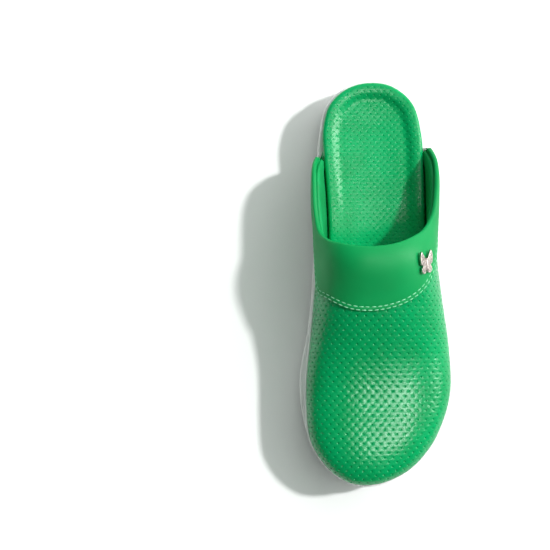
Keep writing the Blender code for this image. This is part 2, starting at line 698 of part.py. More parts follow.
def make_sole(collection, cutters):
    levels = [(inset, above_ground(height)) for inset, height in SOLE_WALL_LOW]
    levels += [(inset, above_ledge(height)) for inset, height in SOLE_WALL_HIGH]
    sole = stacked_solid("sole_unit", sole_ring(), levels, "sole", collection, columns=6)
    for name, pocket, depth, key in (("heel_cushion", HEEL_POCKET, CUSHION_DEPTH, "foam"),
                                     ("shank", SHANK_POCKET, SHANK_DEPTH, "steel"),
                                     ("forefoot_filler", FILLER_POCKET, FILLER_DEPTH, "foam")):
        make_pocket_piece(name, pocket, depth, key, sole, collection, cutters)
    make_tread("heel_tread", HEEL_TREAD, sole, collection, cutters)
    make_tread("forefoot_tread", FOREFOOT_TREAD, sole, collection, cutters)


def footbed_height(drop, offset=0.0):
    """Height of the footbed's top, where drop is the share of the rim's height given up."""
    def height(x, y):
        off_x = (x - ARCH_CENTRE[0]) / ARCH_SPREAD[0]
        off_y = (y - ARCH_CENTRE[1]) / ARCH_SPREAD[1]
        arch = ARCH_RISE * np.exp(-off_x**2 - off_y**2)
        return ledge(y) + FOOTBED_RISE + offset + (arch - smooth_table(RIM_HEIGHT, y)) * drop
    return height


def make_insole(outline, collection):
    board = [(BOARD_INSET, above_ledge(GAP)), (BOARD_INSET, above_ledge(GAP + BOARD_THICK))]
    stacked_solid("insole_board", outline, board, "board", collection)
    foam = [(BOARD_INSET + 0.1, above_ledge(2 * GAP + BOARD_THICK)), (BOARD_INSET + 0.1, above_ledge(3.2))]
    under = -COVER_THICK - FOAM_CLEAR
    foam += [(inset, footbed_height(drop, under)) for inset, drop in FOAM_PROFILE]
    stacked_solid("footbed_foam", outline, foam, "foam", collection)


def make_footbed_cover(outline, collection):
    """Leather over the foam: an open shell with a straight skirt and a rolled rim."""
    levels = [(0, above_ledge(GAP)), (0, above_ledge(SKIRT_TOP))]
    levels += [(inset, footbed_height(drop)) for inset, drop in RIM_PROFILE]
    rings = ring_stack(outline, levels)
    count = len(outline)
    points = [tuple(p) for ring in rings for p in ring]
    faces = grid_faces(len(rings), count, wrap=True)
    extra, cap = ladder_cap(rings[-1], 4, levels[-1][1])
    first, start = (len(rings) - 1) * count, len(points) - count
    points.extend(extra)
    faces += [tuple(first + i if i < count else start + i for i in face) for face in cap]
    mesh = mesh_from("footbed_cover", points, faces)
    point_outward(mesh, (0, 0, 10))
    solid_shell(new_object("footbed_cover", mesh, "leather", collection), COVER_THICK)


def rand_path():
    """Stations and sides along the foot of the upper, from the medial end round the toe."""
    medial_end, lateral_end = RAND_MEDIAL_END - FAN_CENTRE_Y, RAND_LATERAL_END - FAN_CENTRE_Y
    medial = np.concatenate([np.linspace(medial_end, 0, 16), np.linspace(0, -FAN_LENGTH, 12)[1:]])
    lateral = np.concatenate([np.linspace(-FAN_LENGTH, 0, 12)[1:], np.linspace(0, lateral_end, 16)[1:]])
    sides = np.concatenate([np.full(len(medial), -1.0), np.full(len(lateral), 1.0)])
    return np.concatenate([medial, lateral]), sides


def make_rand(collection):
    """Narrow rand that stands on the ledge and hugs the foot of the upper."""
    stations, sides = rand_path()
    near = np.full(len(stations), GAP + 0.2)
    corners = []
    for t, lift, height in ((sides, near, GAP), (sides, near + RAND_THICK, GAP),
                            (sides * (1 - RAND_SHARE), near + RAND_THICK, RAND_TOP - RAND_CHAMFER),
                            (sides * (1 - RAND_SHARE), near, RAND_TOP)):
        loop = upper_point(stations, t, lift)
        loop[:, 2] = ledge(loop[:, 1]) + height
        corners.append(loop)
    points = [tuple(p) for ring in zip(*corners) for p in ring]
    faces = grid_faces(len(stations), 4, wrap=True)
    last = len(points) - 4
    faces += [(0, 1, 2, 3), (last, last + 1, last + 2, last + 3)]
    new_object("rand", mesh_from("rand", points, faces), "sole", collection)


# ================================================================ charm on the collar
def charm_frame():
    """Matrix with its Z along the collar's normal at the charm and its Y toward the heel."""
    station, t = CHARM_STATION[0] - FAN_CENTRE_Y, CHARM_STATION[1]
    centre = upper_point(station, t, BAND_OUT)
    normal = Vector(surface_normal(station, t))
    up = Vector((CHARM_LEAN, 1, 0))
    side = up.cross(normal).normalized()
    up = normal.cross(side).normalized()
    frame = Matrix((side, up, normal)).transposed().to_4x4()
    frame.translation = Vector(centre) * MM
    return frame


def ring_prism(name, outer, low, high, collection, frame, sides=16):
    """Steel ring around the post, between two heights on the frame's Z axis."""
    inner = POST_RADIUS + GAP
    points = []
    for k in range(sides):
        angle = 2 * math.pi * k / sides
        for radius, level in ((inner, low), (outer, low), (outer, high), (inner, high)):
            points.append((radius * math.cos(angle), radius * math.sin(angle), level))
    faces = grid_faces(sides, 4, wrap=True)
    last = 4 * (sides - 1)
    faces += [(last + j, last + (j + 1) % 4, (j + 1) % 4, j) for j in range(4)]
    ring = new_object(name, mesh_from(name, points, faces), "steel", collection)
    ring.matrix_world = frame


def rod(name, radius, low, high, key, collection, frame, sides=12):
    bpy.ops.mesh.primitive_cylinder_add(vertices=sides, radius=radius * MM, depth=(high - low) * MM)
    obj = bpy.context.object
    obj.name = name
    obj.data.name = name
    for other in obj.users_collection:
        other.objects.unlink(obj)
    collection.objects.link(obj)
    if key:
        obj.data.materials.append(material(key))
    obj.matrix_world = frame @ Matrix.Translation((0, 0, (low + high) / 2 * MM))
    return obj


def make_charm(pierced, collection, cutters):
    """Butterfly charm with a post through the collar, held by a washer and a clutch inside."""
    frame = charm_frame()
    inside = LINING_OUT - LINING_THICK - BAND_OUT - WASHER_CLEAR
    curve = bpy.data.curves.new("charm_butterfly", "CURVE")
    curve.dimensions = "2D"
    curve.fill_mode = "BOTH"
    curve.extrude = CHARM_THICK / 2 * MM
    line = curve.splines.new("POLY")
    outline = BUTTERFLY_HALF + [(-x, y) for x, y in reversed(BUTTERFLY_HALF)]
    line.points.add(len(outline) - 1)
    for point, (x, y) in zip(line.points, outline):
        point.co = (x * MM, y * MM, 0, 1)
    line.use_cyclic_u = True
    butterfly = new_object("charm_butterfly", curve, "silver", collection)
    butterfly.matrix_world = frame @ Matrix.Translation((0, 0, (2 * GAP + CHARM_THICK / 2) * MM))
    rod("charm_post", POST_RADIUS, GAP - POST_LENGTH, GAP, "steel", collection, frame)
    washer_top = inside - GAP
    washer_low = washer_top - WASHER_THICK
    ring_prism("charm_washer", WASHER_RADIUS, washer_low, washer_top, collection, frame)
    clutch_top = washer_low - GAP
    ring_prism("charm_clutch", CLUTCH_RADIUS, clutch_top - CLUTCH_THICK, clutch_top, collection, frame)
    for shell in pierced:
        hole = rod("charm_hole_" + shell.name, POST_RADIUS + GAP, -8, 2, None, cutters, frame)
        cut(shell, hole)


# ================================================================ assembly
def clear_scene():
    for obj in list(bpy.data.objects):
        bpy.data.objects.remove(obj, do_unlink=True)


def new_collection(name):
    collection = bpy.data.collections.new(name)
    bpy.context.scene.collection.children.link(collection)
    return collection


def main():
    clear_scene()
    parts = new_collection("garden_clog")
    cutters = new_collection("cutters")
    make_sole(parts, cutters)
    make_insole(footbed_ring(), parts)
    make_footbed_cover(footbed_ring(), parts)
    make_rand(parts)
    make_vamp(parts)
    make_vamp_lining(parts)
    make_toe_puff(parts)
    pierced = make_collar(parts)
    make_binding(parts)
    make_seam_threads(parts)
    make_bartacks(parts)
    make_charm(pierced, parts, cutters)


main()
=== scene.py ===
"""Looks of the open-back garden clog for the left foot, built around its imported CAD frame.

Axes are the frame's: +Z up, the toe points to -Y, the little-toe (lateral) side is +X.
Lengths are millimetres in this file and become metres when a mesh is made.
"""

import math

import bmesh
import bpy
import numpy as np
from mathutils import Matrix, Vector


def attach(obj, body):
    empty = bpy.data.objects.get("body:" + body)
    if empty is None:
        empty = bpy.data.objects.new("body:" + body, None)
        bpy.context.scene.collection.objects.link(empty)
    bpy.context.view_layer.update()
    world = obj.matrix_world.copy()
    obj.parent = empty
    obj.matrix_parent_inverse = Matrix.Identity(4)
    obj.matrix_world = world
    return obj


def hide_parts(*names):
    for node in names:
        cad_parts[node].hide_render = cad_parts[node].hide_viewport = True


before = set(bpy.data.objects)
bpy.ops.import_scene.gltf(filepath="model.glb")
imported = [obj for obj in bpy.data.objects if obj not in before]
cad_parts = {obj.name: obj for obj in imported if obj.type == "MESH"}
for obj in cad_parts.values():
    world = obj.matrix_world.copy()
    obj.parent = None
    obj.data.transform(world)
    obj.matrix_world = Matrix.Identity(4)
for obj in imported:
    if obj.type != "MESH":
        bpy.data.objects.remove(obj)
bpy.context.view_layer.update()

MM = 0.001
TINY = 1e-6
ROD_HELPER = (0.31, 0.2, 0.93)  # a direction that no rod runs along
STATION_STEP, T_STEP = 0.5, 0.01   # steps for reading the master surface's slope
CAP_COLUMNS = 8                # columns of the grids that close the sole

# ---------------------------------------------------------------- shape shared with the CAD
SOLE_OUTLINE = [
    (-3, 132.6), (-21, 127.5), (-33, 115), (-36.8, 98), (-38.6, 78), (-39.7, 45), (-41, 8),
    (-44, -27), (-49, -56), (-49.2, -77), (-44.8, -98), (-35, -117), (-21, -128.5),
    (-7, -132.6), (9, -129.5), (25, -119), (39, -101), (47.3, -80), (49.5, -61), (46.8, -30),
    (42, 3), (39.2, 38), (36, 72), (31.8, 98), (26, 117), (13.5, 129),
]
FOOTBED_OUTLINE = [
    (-4.5, 130.2), (-19, 126.5), (-30.5, 116), (-34.8, 101), (-34.6, 86), (-32, 56), (-31, 28),
    (-32.5, 0), (-36.8, -36), (-39, -66), (-37.6, -92), (-30, -110), (-18, -120.6),
    (-7, -123.4), (6, -120.6), (20.5, -110.5), (33, -94), (40.6, -75), (41.7, -60),
    (37.2, -24), (32.2, 12), (31.3, 42), (30.2, 74), (29, 96), (23.5, 116), (10.5, 127.5),
]
LEDGE_HEIGHT = [(-132.6, 26), (-90, 21.5), (-60, 20.5), (-20, 22), (20, 25), (60, 26.8),
                (132.6, 27.5)]
HEEL_END = 132.6
TOE_END = -132.6
TOE_SPRING_START = -72
TOE_SPRING = 7.0
HEEL_BEVEL_START = 112
HEEL_BEVEL = 2.0
PAD_STAND = 1.5

UPPER_OUTLINE = [
    (-34.5, 90), (-38.6, 82), (-41.3, 72), (-41.6, 51), (-40.1, 30), (-39.6, 9), (-41, -12),
    (-43, -36), (-45.2, -58), (-45.6, -78), (-43.1, -101), (-33.5, -117.4), (-20.3, -127.8),
    (-8, -130.4), (6, -128.2), (22, -119.7), (35, -105.5), (42.6, -90.5), (47.2, -75),
    (48.3, -60), (46.3, -36), (42.2, -10), (39, 11), (37.4, 30), (37.9, 51), (37.9, 70),
    (36, 82), (31, 94),
]
FAN_CENTRE_X, FAN_CENTRE_Y = -4.0, -84
FAN_LENGTH = 60.0
SPINE_X = [(-84, -4), (-30, -6), (30, -6), (94, -3)]
RIDGE_HEIGHT = [(-84, 51), (-70, 51.7), (-50, 55.5), (-15, 69.5), (22, 84), (33, 79), (45, 74.5),
                (60, 71), (94, 64)]
WIDEST_HEIGHT = [(-132.6, 35), (-90, 31), (-60, 30), (-20, 34), (20, 43), (42, 48.5), (66, 50),
                 (94, 43)]
MEDIAL_TUCK = [(-132.6, 1.2), (-60, 1.2), (-20, 1.4), (20, 2.2), (50, 3.8), (70, 3.8), (90, 0.6)]
LATERAL_TUCK = [(-132.6, 1.2), (-60, 1.2), (-20, 1.4), (20, 1.6), (60, 2.2), (78, 2.4), (94, 0.6)]
SQUARENESS = [(-84, 2.8), (-40, 2.5), (0, 2.3), (94, 2.3)]
WALL_SHARE = 0.25
GAP = 0.3

MEDIAL_SEAM = [(0, -15), (0.14, -13.8), (0.26, -10.7), (0.39, -7.1), (0.56, -2.5), (0.66, 8),
               (0.75, 22), (0.85, 40), (0.95, 56), (1.0, 64)]
LATERAL_SEAM = [(0, -15), (0.11, -13), (0.24, -8), (0.36, -1), (0.47, 8), (0.58, 20), (0.69, 34),
                (0.78, 46), (0.87, 58), (0.95, 69), (1.0, 76)]
MEDIAL_TOPLINE = [(22.3, 0), (22.9, 0.11), (24.4, 0.24), (26.6, 0.39), (31.6, 0.53), (40, 0.595),
                  (58, 0.635), (69, 0.665), (76, 0.73), (80, 0.81), (82, 0.87)]
LATERAL_TOPLINE = [(22.3, 0), (23.4, 0.10), (25.4, 0.19), (29.0, 0.30), (33.5, 0.41), (43, 0.53),
                   (57, 0.61), (71, 0.655), (79, 0.72), (84.5, 0.80), (88, 0.87)]
BAND_OUT = 1.4
BAND_DROP = 2.2
BAND_SEAM_END = 0.84
LINING_IN = -3.1               # lift of the lining's visible face
LINING_THICK = 0.9
PUFF_ROOM = 0.8
INNER_HEM = 0.97

FOOTBED_RISE = 9.0
RIM_HEIGHT = [(-125, 0.4), (-60, 1.0), (0, 2.4), (60, 3.0), (130, 3.4)]
ARCH_CENTRE = (-22, 22)
ARCH_SPREAD = (12, 30)
ARCH_RISE = 2.2
RAND_MEDIAL_END = 60
RAND_LATERAL_END = 68
# Outer outline of the rand's cut: distance out from the upper, height above the ledge.
RAND_SECTION = [(0.2, 0.3), (1.65, 0.3), (1.75, 1.0), (1.7, 2.1), (1.4, 2.75), (0.85, 3.2), (0.5, 3.25),
                (-0.1, 3.05)]
RAND_LEAN = 0.02               # section parameter given up for each millimetre of height

# ---------------------------------------------------------------- surface detail
VAMP_BRICK = (5.4, 3.05)       # width and height of the cell that each vamp dimple sits in
VAMP_DIMPLE = (0.63, 0.52)     # radius and depth
FOOTBED_BRICK = (4.3, 2.4)
FOOTBED_SHEET = (50, 134)      # half sizes of the flat sheet that the footbed's cover is cut from
FOOTBED_DIMPLE = (0.5, 0.36)
VAMP_SHEET_HALF = 100          # the flat sheet that the vamp is cut from
VAMP_SHEET_AHEAD, VAMP_SHEET_BEHIND = 90, 165
PROBE = 0.2                    # step for reading a slope on the flat pattern
NO_SLOPE = 1e-4                # a slope shorter than this is the sheet's clipped edge
PUFF_END, PUFF_FADE = 34, 12   # station where the toe puff's room under the lining ends
# Outline of a brick as shares of its width and height, and where its dimple's points start.
BRICK_EDGE = [(0, 0), (0.25, 0), (0.5, 0), (0.75, 0), (1, 0), (1, 0.5), (1, 1), (0.75, 1), (0.5, 1),
              (0.25, 1), (0, 1), (0, 0.5)]
BRICK_TURN = -150
# Rings of a dimple from its rim inward: share of its radius, share of its depth.
DIMPLE_RINGS = [(1.3, 0.0), (1.02, 0.12), (0.82, 0.5), (0.5, 0.9)]
UNDER_BAND = 7.0               # the vamp's leather is made this far behind the seam
# Lower edge of the visible band at the wings; it runs lower than the CAD's, down to the ledge.
MEDIAL_HEM = [(50, 0.905), (56, 0.96), (61, 0.99), (70, 0.995), (83, 0.995)]
LATERAL_HEM = [(60, 0.905), (67, 0.96), (72, 0.99), (79, 0.995), (89, 0.995)]
COLLAR_COLUMNS = 150           # columns of points on each half of the collar
# Profile of the band above its lower edge: distance from the edge, lift from the master surface.
HEM_PROFILE = [(0.0, 0.05), (0.02, 0.62), (0.2, 1.05), (0.55, 1.28), (1.05, 1.12), (1.6, 1.38),
               (2.2, 1.45), (2.8, 1.38), (3.35, 1.15), (4.1, 1.36), (6.0, 1.4)]
ROLL_RADIUS = 1.45             # rolled edge of the topline
ROLL_CENTRE = (0.15, -0.05)    # distance below the topline and lift of its centre
ROLL_LOOK = 1.5                # distance below its centre where the roll's upward way is read
ROLL_TURN = 205                # degrees that the leather wraps round the roll
# Profile of the lining below the topline: distance, lift.
LINING_PROFILE = [(1.3, -1.2), (2.6, -1.45), (3.1, -1.8), (2.9, -2.15), (2.3, -2.5), (2.2, -2.95),
                  (2.8, -3.6), (4.8, -4.3), (9, -4.9)]
MIDDLE_LIFT = -0.9             # the tips of the collar close at this lift
LINING_CLEARANCE = 1.0         # gap between the lining's foot and the footbed
TIP_ROUNDING = 1.6
LINING_ENDS = ((-1, 81), (1, 87))   # side and station y of the tips of the lining's foot
LINING_END_T = 0.955
LINING_FOOT_BACK = 0.6
LINING_SINK = 0.2              # the lining's foot lies this much deeper than LINING_IN
LINING_FLOAT = 0.4             # height of the lining's last row over the ledge
# The lining's foot is drawn to the footbed: from this section parameter on, and over these rows.
PULL_START, PULL_FADE = 0.4, 0.35
PULL_ROWS_ABOVE, PULL_ROWS = 4, 16
PULL_POWER = 1.3
# Footbed rim: distance in from the edge, share of the rim's height given up.
RIM_SHAPE = [(2.4, 0.0), (4.8, 0.06), (7.0, 0.3), (8.9, 0.68), (10.4, 0.92), (12.2, 1.0), (14, 1.0)]
RIM_CREST = 2.4
BOWL_START, BOWL_WIDTH = 9, 20  # distance in from the edge where the hollow starts, and its slope's width
BOWL = 1.0                     # extra hollow of the dish in its middle
# Outer roll of the rim and its skirt: distance in from the edge, height below the crest.
RIM_ROLL = [(2.4, 0.0), (1.7, 0.1), (1.0, 0.42), (0.45, 0.95), (0.12, 1.7), (0.0, 2.6)]
# Turned-out foot of the footbed's wrap: share of its reach and height above the ledge.
SKIRT = [(0.0, 2.2), (0.3, 1.0), (1.0, 0.4)]
SKIRT_END = 88
SKIRT_MEDIAL = 3.2
SKIRT_LATERAL = 1.8
SKIRT_FADE = 10
# Sole wall, bottom to top: inset and height, above the ground and then above the ledge.
WALL_LOW = [(3.6, 1.5), (2.4, 1.75), (1.4, 2.4), (0.7, 3.6), (0.2, 5.2), (0.0, 7.2)]
WALL_HIGH = [(0.15, -8.0), (0.2, -6.6), (0.55, -6.35), (0.55, -5.85), (0.2, -5.6), (0.1, -3.5),
             (0.05, -1.9), (0.2, -1.0), (0.6, -0.35), (1.3, 0.0), (4.5, 0.0)]
STITCH_PITCH = 3.8
STITCH_LENGTH = 3.3
STITCH_RADIUS = 0.42
STITCH_SWELL = [0.45, 0.85, 1.0, 1.05, 1.0, 0.85, 0.45]   # share of the radius along a stitch
STITCH_LIFT = 0.75             # how high a stitch's ends lie over the master surface
STITCH_ARCH = 0.38
ROW_SPACING = 2.3
BARTACK_STATION, BARTACK_T = 68, 0.76
CHARM_STATION = (13.3, 0.375)  # station y and section parameter
CHARM_LEAN = -0.25
CHARM_THICK = 1.6
BUTTERFLY_HALF = [(0.45, -3.6), (1.3, -5.8), (3.0, -6.2), (4.3, -4.9), (4.4, -2.9), (3.5, -1.1),
                  (4.9, 0.0), (5.5, 2.6), (5.4, 5.6), (4.4, 8.0), (2.9, 6.6), (1.4, 4.0), (0.45, 2.6)]
BUTTERFLY_BEADS = [(2.2, -4.6), (3.3, -3.4), (2.1, -2.6), (2.6, 1.0), (4.0, 2.2), (2.9, 3.4), (4.3, 4.4),
                   (3.9, 6.2)]
CHARM_EDGE = 0.3               # rounding of the wings' edge
CHARM_BODY = (0.8, 4.6, 0.9)   # half sizes of the body
CHARM_BODY_BACK = 0.5
CHARM_BODY_RISE = 0.7
WING_LIFT = 0.05               # rise of the wings for each millimetre away from the body
BEAD_RADIUS = 0.36
BEAD_STAND = 0.05

RAMP_START, RAMP_END = 0.35, 0.65     # part of a noise's range that the colours run over
GLOSS_START, GLOSS_END = 0.3, 0.7     # part of a noise's range that the roughness runs over
MM_PER_METRE = 1000

# ---------------------------------------------------------------- stage
CAMERA_PLACE = (-65.9, 5.7, 1300)
CAMERA_LENS = 127.9
CAMERA_SENSOR = 36
CAMERA_NEAR = 0.01
SUN_AZIMUTH = 20
SUN_ELEVATION = 49
SUN_STRENGTH = 2.5
SUN_ANGLE = 4
SKY_TOWARD = (0.62, 0.64, 0.46)
SKY_DIM = 0.06
SKY_TINT = (0.93, 1.02, 0.96)
# Sky brightness: share of the way toward SKY_TOWARD, level.
SKY_LEVELS = [(0.25, 0.12), (0.5, 0.3), (0.75, 0.65)]
SKY_STRENGTH = 2.05
# Panels seen in the sheen: name, azimuth, elevation and half-width in degrees, radiance.
REFLECTORS = [("panel_toe", -48, 71, 8, 17), ("panel_side", 4, 32, 13, 13)]
LAMP_AWAY = 1600
FLOOR_HALF = 2000

# ---------------------------------------------------------------- material of each CAD node
NODE_LOOKS = {
    "sole_unit": "foam_white", "rand": "foam_white", "heel_tread": "tread", "forefoot_tread": "tread",
    "heel_cushion": "foam", "forefoot_filler": "foam", "footbed_foam": "foam", "collar_foam": "foam",
    "shank": "steel", "charm_post": "steel", "charm_washer": "steel", "charm_clutch": "steel",
    "insole_board": "board", "toe_puff": "board", "vamp": "leather", "footbed_cover": "footbed",
    "collar_band": "smooth", "topline_binding": "smooth", "vamp_lining": "lining",
    "collar_lining": "lining", "seam_thread_front": "thread", "seam_thread_rear": "thread",
    "bartack_medial": "thread", "bartack_lateral": "thread", "charm_butterfly": "silver",
}


# ================================================================ curves and the master surface
def smooth_table(table, value):
    """Value of a smooth curve through (key, value) pairs, held level past both ends."""
    keys = np.array([pair[0] for pair in table], dtype=float)
    vals = np.array([pair[1] for pair in table], dtype=float)
    slopes = np.gradient(vals, keys)
    slopes[0] = 0.0
    slopes[-1] = 0.0
    value = np.clip(np.asarray(value, dtype=float), keys[0], keys[-1])
    index = np.clip(np.searchsorted(keys, value, side="right") - 1, 0, len(keys) - 2)
    step = keys[index + 1] - keys[index]
    s = (value - keys[index]) / step
    start = (2 * s**3 - 3 * s**2 + 1) * vals[index] + (s**3 - 2 * s**2 + s) * step * slopes[index]
    end = (3 * s**2 - 2 * s**3) * vals[index + 1] + (s**3 - s**2) * step * slopes[index + 1]
    return start + end


def spline(points, per_segment, closed):
    """Dense points on a Catmull-Rom curve through given points."""
    pts = np.array(points, dtype=float)
    if closed:
        pts = np.vstack([pts[-1], pts, pts[0], pts[1]])
    else:
        pts = np.vstack([2 * pts[0] - pts[1], pts, 2 * pts[-1] - pts[-2]])
    s = np.linspace(0, 1, per_segment, endpoint=False)[:, None]
    runs = []
    for a, b, c, d in zip(pts[:-3], pts[1:-2], pts[2:-1], pts[3:]):
        runs.append(0.5 * (2 * b + (c - a) * s + (2 * a - 5 * b + 4 * c - d) * s**2
                           + (3 * b - a - 3 * c + d) * s**3))
    curve = np.vstack(runs)
    return curve if closed else np.vstack([curve, pts[-2]])


def lengths_along(places):
    """Running length over a row of points, from 0."""
    return np.concatenate([[0], np.cumsum(np.linalg.norm(np.diff(places, axis=0), axis=1))])


def ease(share):
    """Smooth step of a share between 0 and 1, level at both ends."""
    return share**2 * (3 - 2 * share)


def resample(curve, count):
    """Points at equal distances round a dense closed curve."""
    path = np.vstack([curve, curve[:1]])
    lengths = lengths_along(path)
    marks = np.linspace(0, lengths[-1], count, endpoint=False)
    return np.column_stack([np.interp(marks, lengths, column) for column in path.T])


def inward_normals(ring):
    """Unit normals of a closed plan ring, pointing inward."""
    along = np.roll(ring, -1, axis=0) - np.roll(ring, 1, axis=0)
    along /= np.linalg.norm(along, axis=1)[:, None]
    return np.column_stack([-along[:, 1], along[:, 0]])


def inset_ring(ring, distance):
    """A closed plan ring moved inward by a distance."""
    return ring + inward_normals(ring) * distance


# ================================================================ heights
def ledge(y):
    """Height of the sole's ledge, which the upper and the footbed stand on."""
    return smooth_table(LEDGE_HEIGHT, y)


def ground_clearance(y):
    """Height of the underside above the ground: toe spring in front, bevel at the heel."""
    front = np.clip((TOE_SPRING_START - y) / (TOE_SPRING_START - TOE_END), 0, 1)
    back = np.clip((y - HEEL_BEVEL_START) / (HEEL_END - HEEL_BEVEL_START), 0, 1)
    return TOE_SPRING * front**2 + HEEL_BEVEL * back**2


# ================================================================ master surface of the upper
OUTLINE_CURVE = spline(UPPER_OUTLINE, 60, False)
TOE_INDEX = int(np.argmin(OUTLINE_CURVE[:, 1]))


def outline_reach(station_y, turn, side):
    """Distance from the spine to the widest line, along the section's direction."""
    half = OUTLINE_CURVE[:TOE_INDEX + 1] if side < 0 else OUTLINE_CURVE[TOE_INDEX:]
    order = np.argsort(half[:, 1])
    widest_x = np.interp(station_y, half[order, 1], half[order, 0])
    straight = np.abs(widest_x - smooth_table(SPINE_X, station_y))
    offset = OUTLINE_CURVE - np.array([FAN_CENTRE_X, FAN_CENTRE_Y])
    angle = np.arctan2(-offset[:, 1], side * offset[:, 0])
    ahead = np.argsort(angle)
    radius = np.linalg.norm(offset, axis=1)
    fanned = np.interp(turn, angle[ahead], radius[ahead])
    return np.where(turn > 0, fanned, straight)


def master_point(station, t):
    """Point of the upper's outer surface.

    station is the distance behind the fan centre, negative inside the toe fan.
    t runs from -1 (medial base) over 0 (ridge) to 1 (lateral base).
    """
    station, t = np.broadcast_arrays(np.asarray(station, float), np.asarray(t, float))
    y = FAN_CENTRE_Y + np.maximum(station, 0)
    turn = np.maximum(-station, 0) / FAN_LENGTH * math.pi / 2
    side = np.where(t < 0, -1.0, 1.0)
    reach = np.where(side < 0, outline_reach(y, turn, -1), outline_reach(y, turn, 1))
    edge_y = y - np.sin(turn) * reach
    tuck = np.where(side < 0, smooth_table(MEDIAL_TUCK, edge_y), smooth_table(LATERAL_TUCK, edge_y))
    widest = smooth_table(WIDEST_HEIGHT, edge_y)
    base = ledge(edge_y) + GAP
    ridge = smooth_table(RIDGE_HEIGHT, y)
    power = 2 / smooth_table(SQUARENESS, y)
    share = np.abs(t)
    phi = np.clip(share / (1 - WALL_SHARE), 0, 1) * math.pi / 2
    wall = np.clip((share - (1 - WALL_SHARE)) / WALL_SHARE, 0, 1)
    out = reach * np.sin(phi) ** power - tuck * (1 - np.cos(wall * math.pi / 2))
    cosine = np.clip(np.cos(phi), 0, 1)
    height = widest + (ridge - widest) * cosine**power - (widest - base) * wall
    x = smooth_table(SPINE_X, y) + side * np.cos(turn) * out
    return np.stack([x, y - np.sin(turn) * out, height], axis=-1)


def surface_normal(station, t):
    """Outward unit normal of the master surface."""
    low, high = np.maximum(t - T_STEP, -1), np.minimum(t + T_STEP, 1)
    along = master_point(station + STATION_STEP, t) - master_point(station - STATION_STEP, t)
    normal = np.cross(master_point(station, high) - master_point(station, low), along)
    size = np.linalg.norm(normal, axis=-1, keepdims=True)
    return np.where(size > TINY, normal / np.maximum(size, TINY), np.array([0, 0, 1.0]))


def upper_point(station, t, lift):
    """Point at a distance outward from the master surface."""
    station, t = np.broadcast_arrays(np.asarray(station, float), np.asarray(t, float))
    normal = surface_normal(station, t)
    pole = (station < 0) & (np.abs(t) < TINY)
    normal = np.where(pole[..., None], surface_normal(0 * station, 0 * t), normal)
    return master_point(station, t) + normal * np.asarray(lift, float)[..., None]


def seam_station(t, side):
    """Station of the collar's seam at a section parameter."""
    table = MEDIAL_SEAM if side < 0 else LATERAL_SEAM
    return smooth_table(table, np.abs(t)) - FAN_CENTRE_Y


def slide(path, distance):
    """Move a path sideways on the upper; positive is toward the heel at the ridge."""
    station, t = path[:, 0], path[:, 1]
    places = master_point(station, t)
    tangent = np.gradient(places, axis=0)
    tangent /= np.linalg.norm(tangent, axis=1)[:, None]
    sideways = np.cross(surface_normal(station, t), tangent) * distance
    ahead, behind = master_point(station - STATION_STEP, t), master_point(station + STATION_STEP, t)
    u = (behind - ahead) / (2 * STATION_STEP)
    low, high = np.maximum(t - T_STEP, -1), np.minimum(t + T_STEP, 1)
    v = (master_point(station, high) - master_point(station, low)) / (high - low)[:, None]
    uu, uv, vv = (u * u).sum(1), (u * v).sum(1), (v * v).sum(1)
    us, vs = (u * sideways).sum(1), (v * sideways).sum(1)
    scale = uu * vv - uv * uv
    moved = np.column_stack([station + (us * vv - vs * uv) / scale, t + (vs * uu - us * uv) / scale])
    moved[:, 1] = np.clip(moved[:, 1], -1, 1)
    return moved


def side_path(table, side):
    """Listed (station y, parameter) pairs as a dense path on one side of the upper."""
    path = spline([(y - FAN_CENTRE_Y, side * t) for y, t in table], 24, False)
    path[:, 1] = side * np.clip(side * path[:, 1], 0, 1)
    return path


def spread(path, count):
    """Evenly spaced stations along a path that lies on the upper."""
    lengths = lengths_along(master_point(path[:, 0], path[:, 1]))
    marks = np.linspace(0, lengths[-1], count)
    return np.column_stack([np.interp(marks, lengths, path[:, axis]) for axis in (0, 1)])


def across(medial, lateral, per_side):
    """One path from the medial end over the ridge to the lateral end."""
    left = spread(medial, per_side)[::-1]
    right = spread(lateral, per_side)[1:]
    return np.vstack([left, right])


def seam_path(side, last):
    """The seam on one side, from the ridge to a section parameter."""
    t = np.linspace(0, last, 90)
    return np.column_stack([seam_station(t, side), side * t])


# ================================================================ the flat leather pattern
# Stations and parameters at which the sections' lengths are tabled.
TABLE_STATIONS = np.concatenate([np.linspace(-FAN_LENGTH, 0, 46)[:-1], np.linspace(0, 176, 89)])
TABLE_PARAMETERS = np.linspace(0, 1, 181)


def reach_table(side):
    """Length over the surface from the ridge to each parameter, one row for each station."""
    points = master_point(TABLE_STATIONS[:, None], side * TABLE_PARAMETERS[None, :])
    steps = np.linalg.norm(np.diff(points, axis=1), axis=2)
    return np.hstack([np.zeros((len(steps), 1)), np.cumsum(steps, axis=1)])


REACH_TABLES = {side: reach_table(side) for side in (-1, 1)}


def parameter_at(station, reach, side):
    """Section parameter at a length from the ridge, and the length of the whole section."""
    table = REACH_TABLES[side]
    index = np.clip(np.searchsorted(TABLE_STATIONS, station, side="right") - 1, 0,
                    len(TABLE_STATIONS) - 2)
    start = TABLE_STATIONS[index]
    mix = np.clip((station - start) / (TABLE_STATIONS[index + 1] - start), 0, 1)
    low, high = np.zeros_like(reach), np.zeros_like(reach)
    for row in np.unique(index):
        here = index == row
        low[here] = np.interp(reach[here], table[row], TABLE_PARAMETERS)
        high[here] = np.interp(reach[here], table[row + 1], TABLE_PARAMETERS)
    whole = table[index, -1] * (1 - mix) + table[index + 1, -1] * mix
    return low * (1 - mix) + high * mix, whole


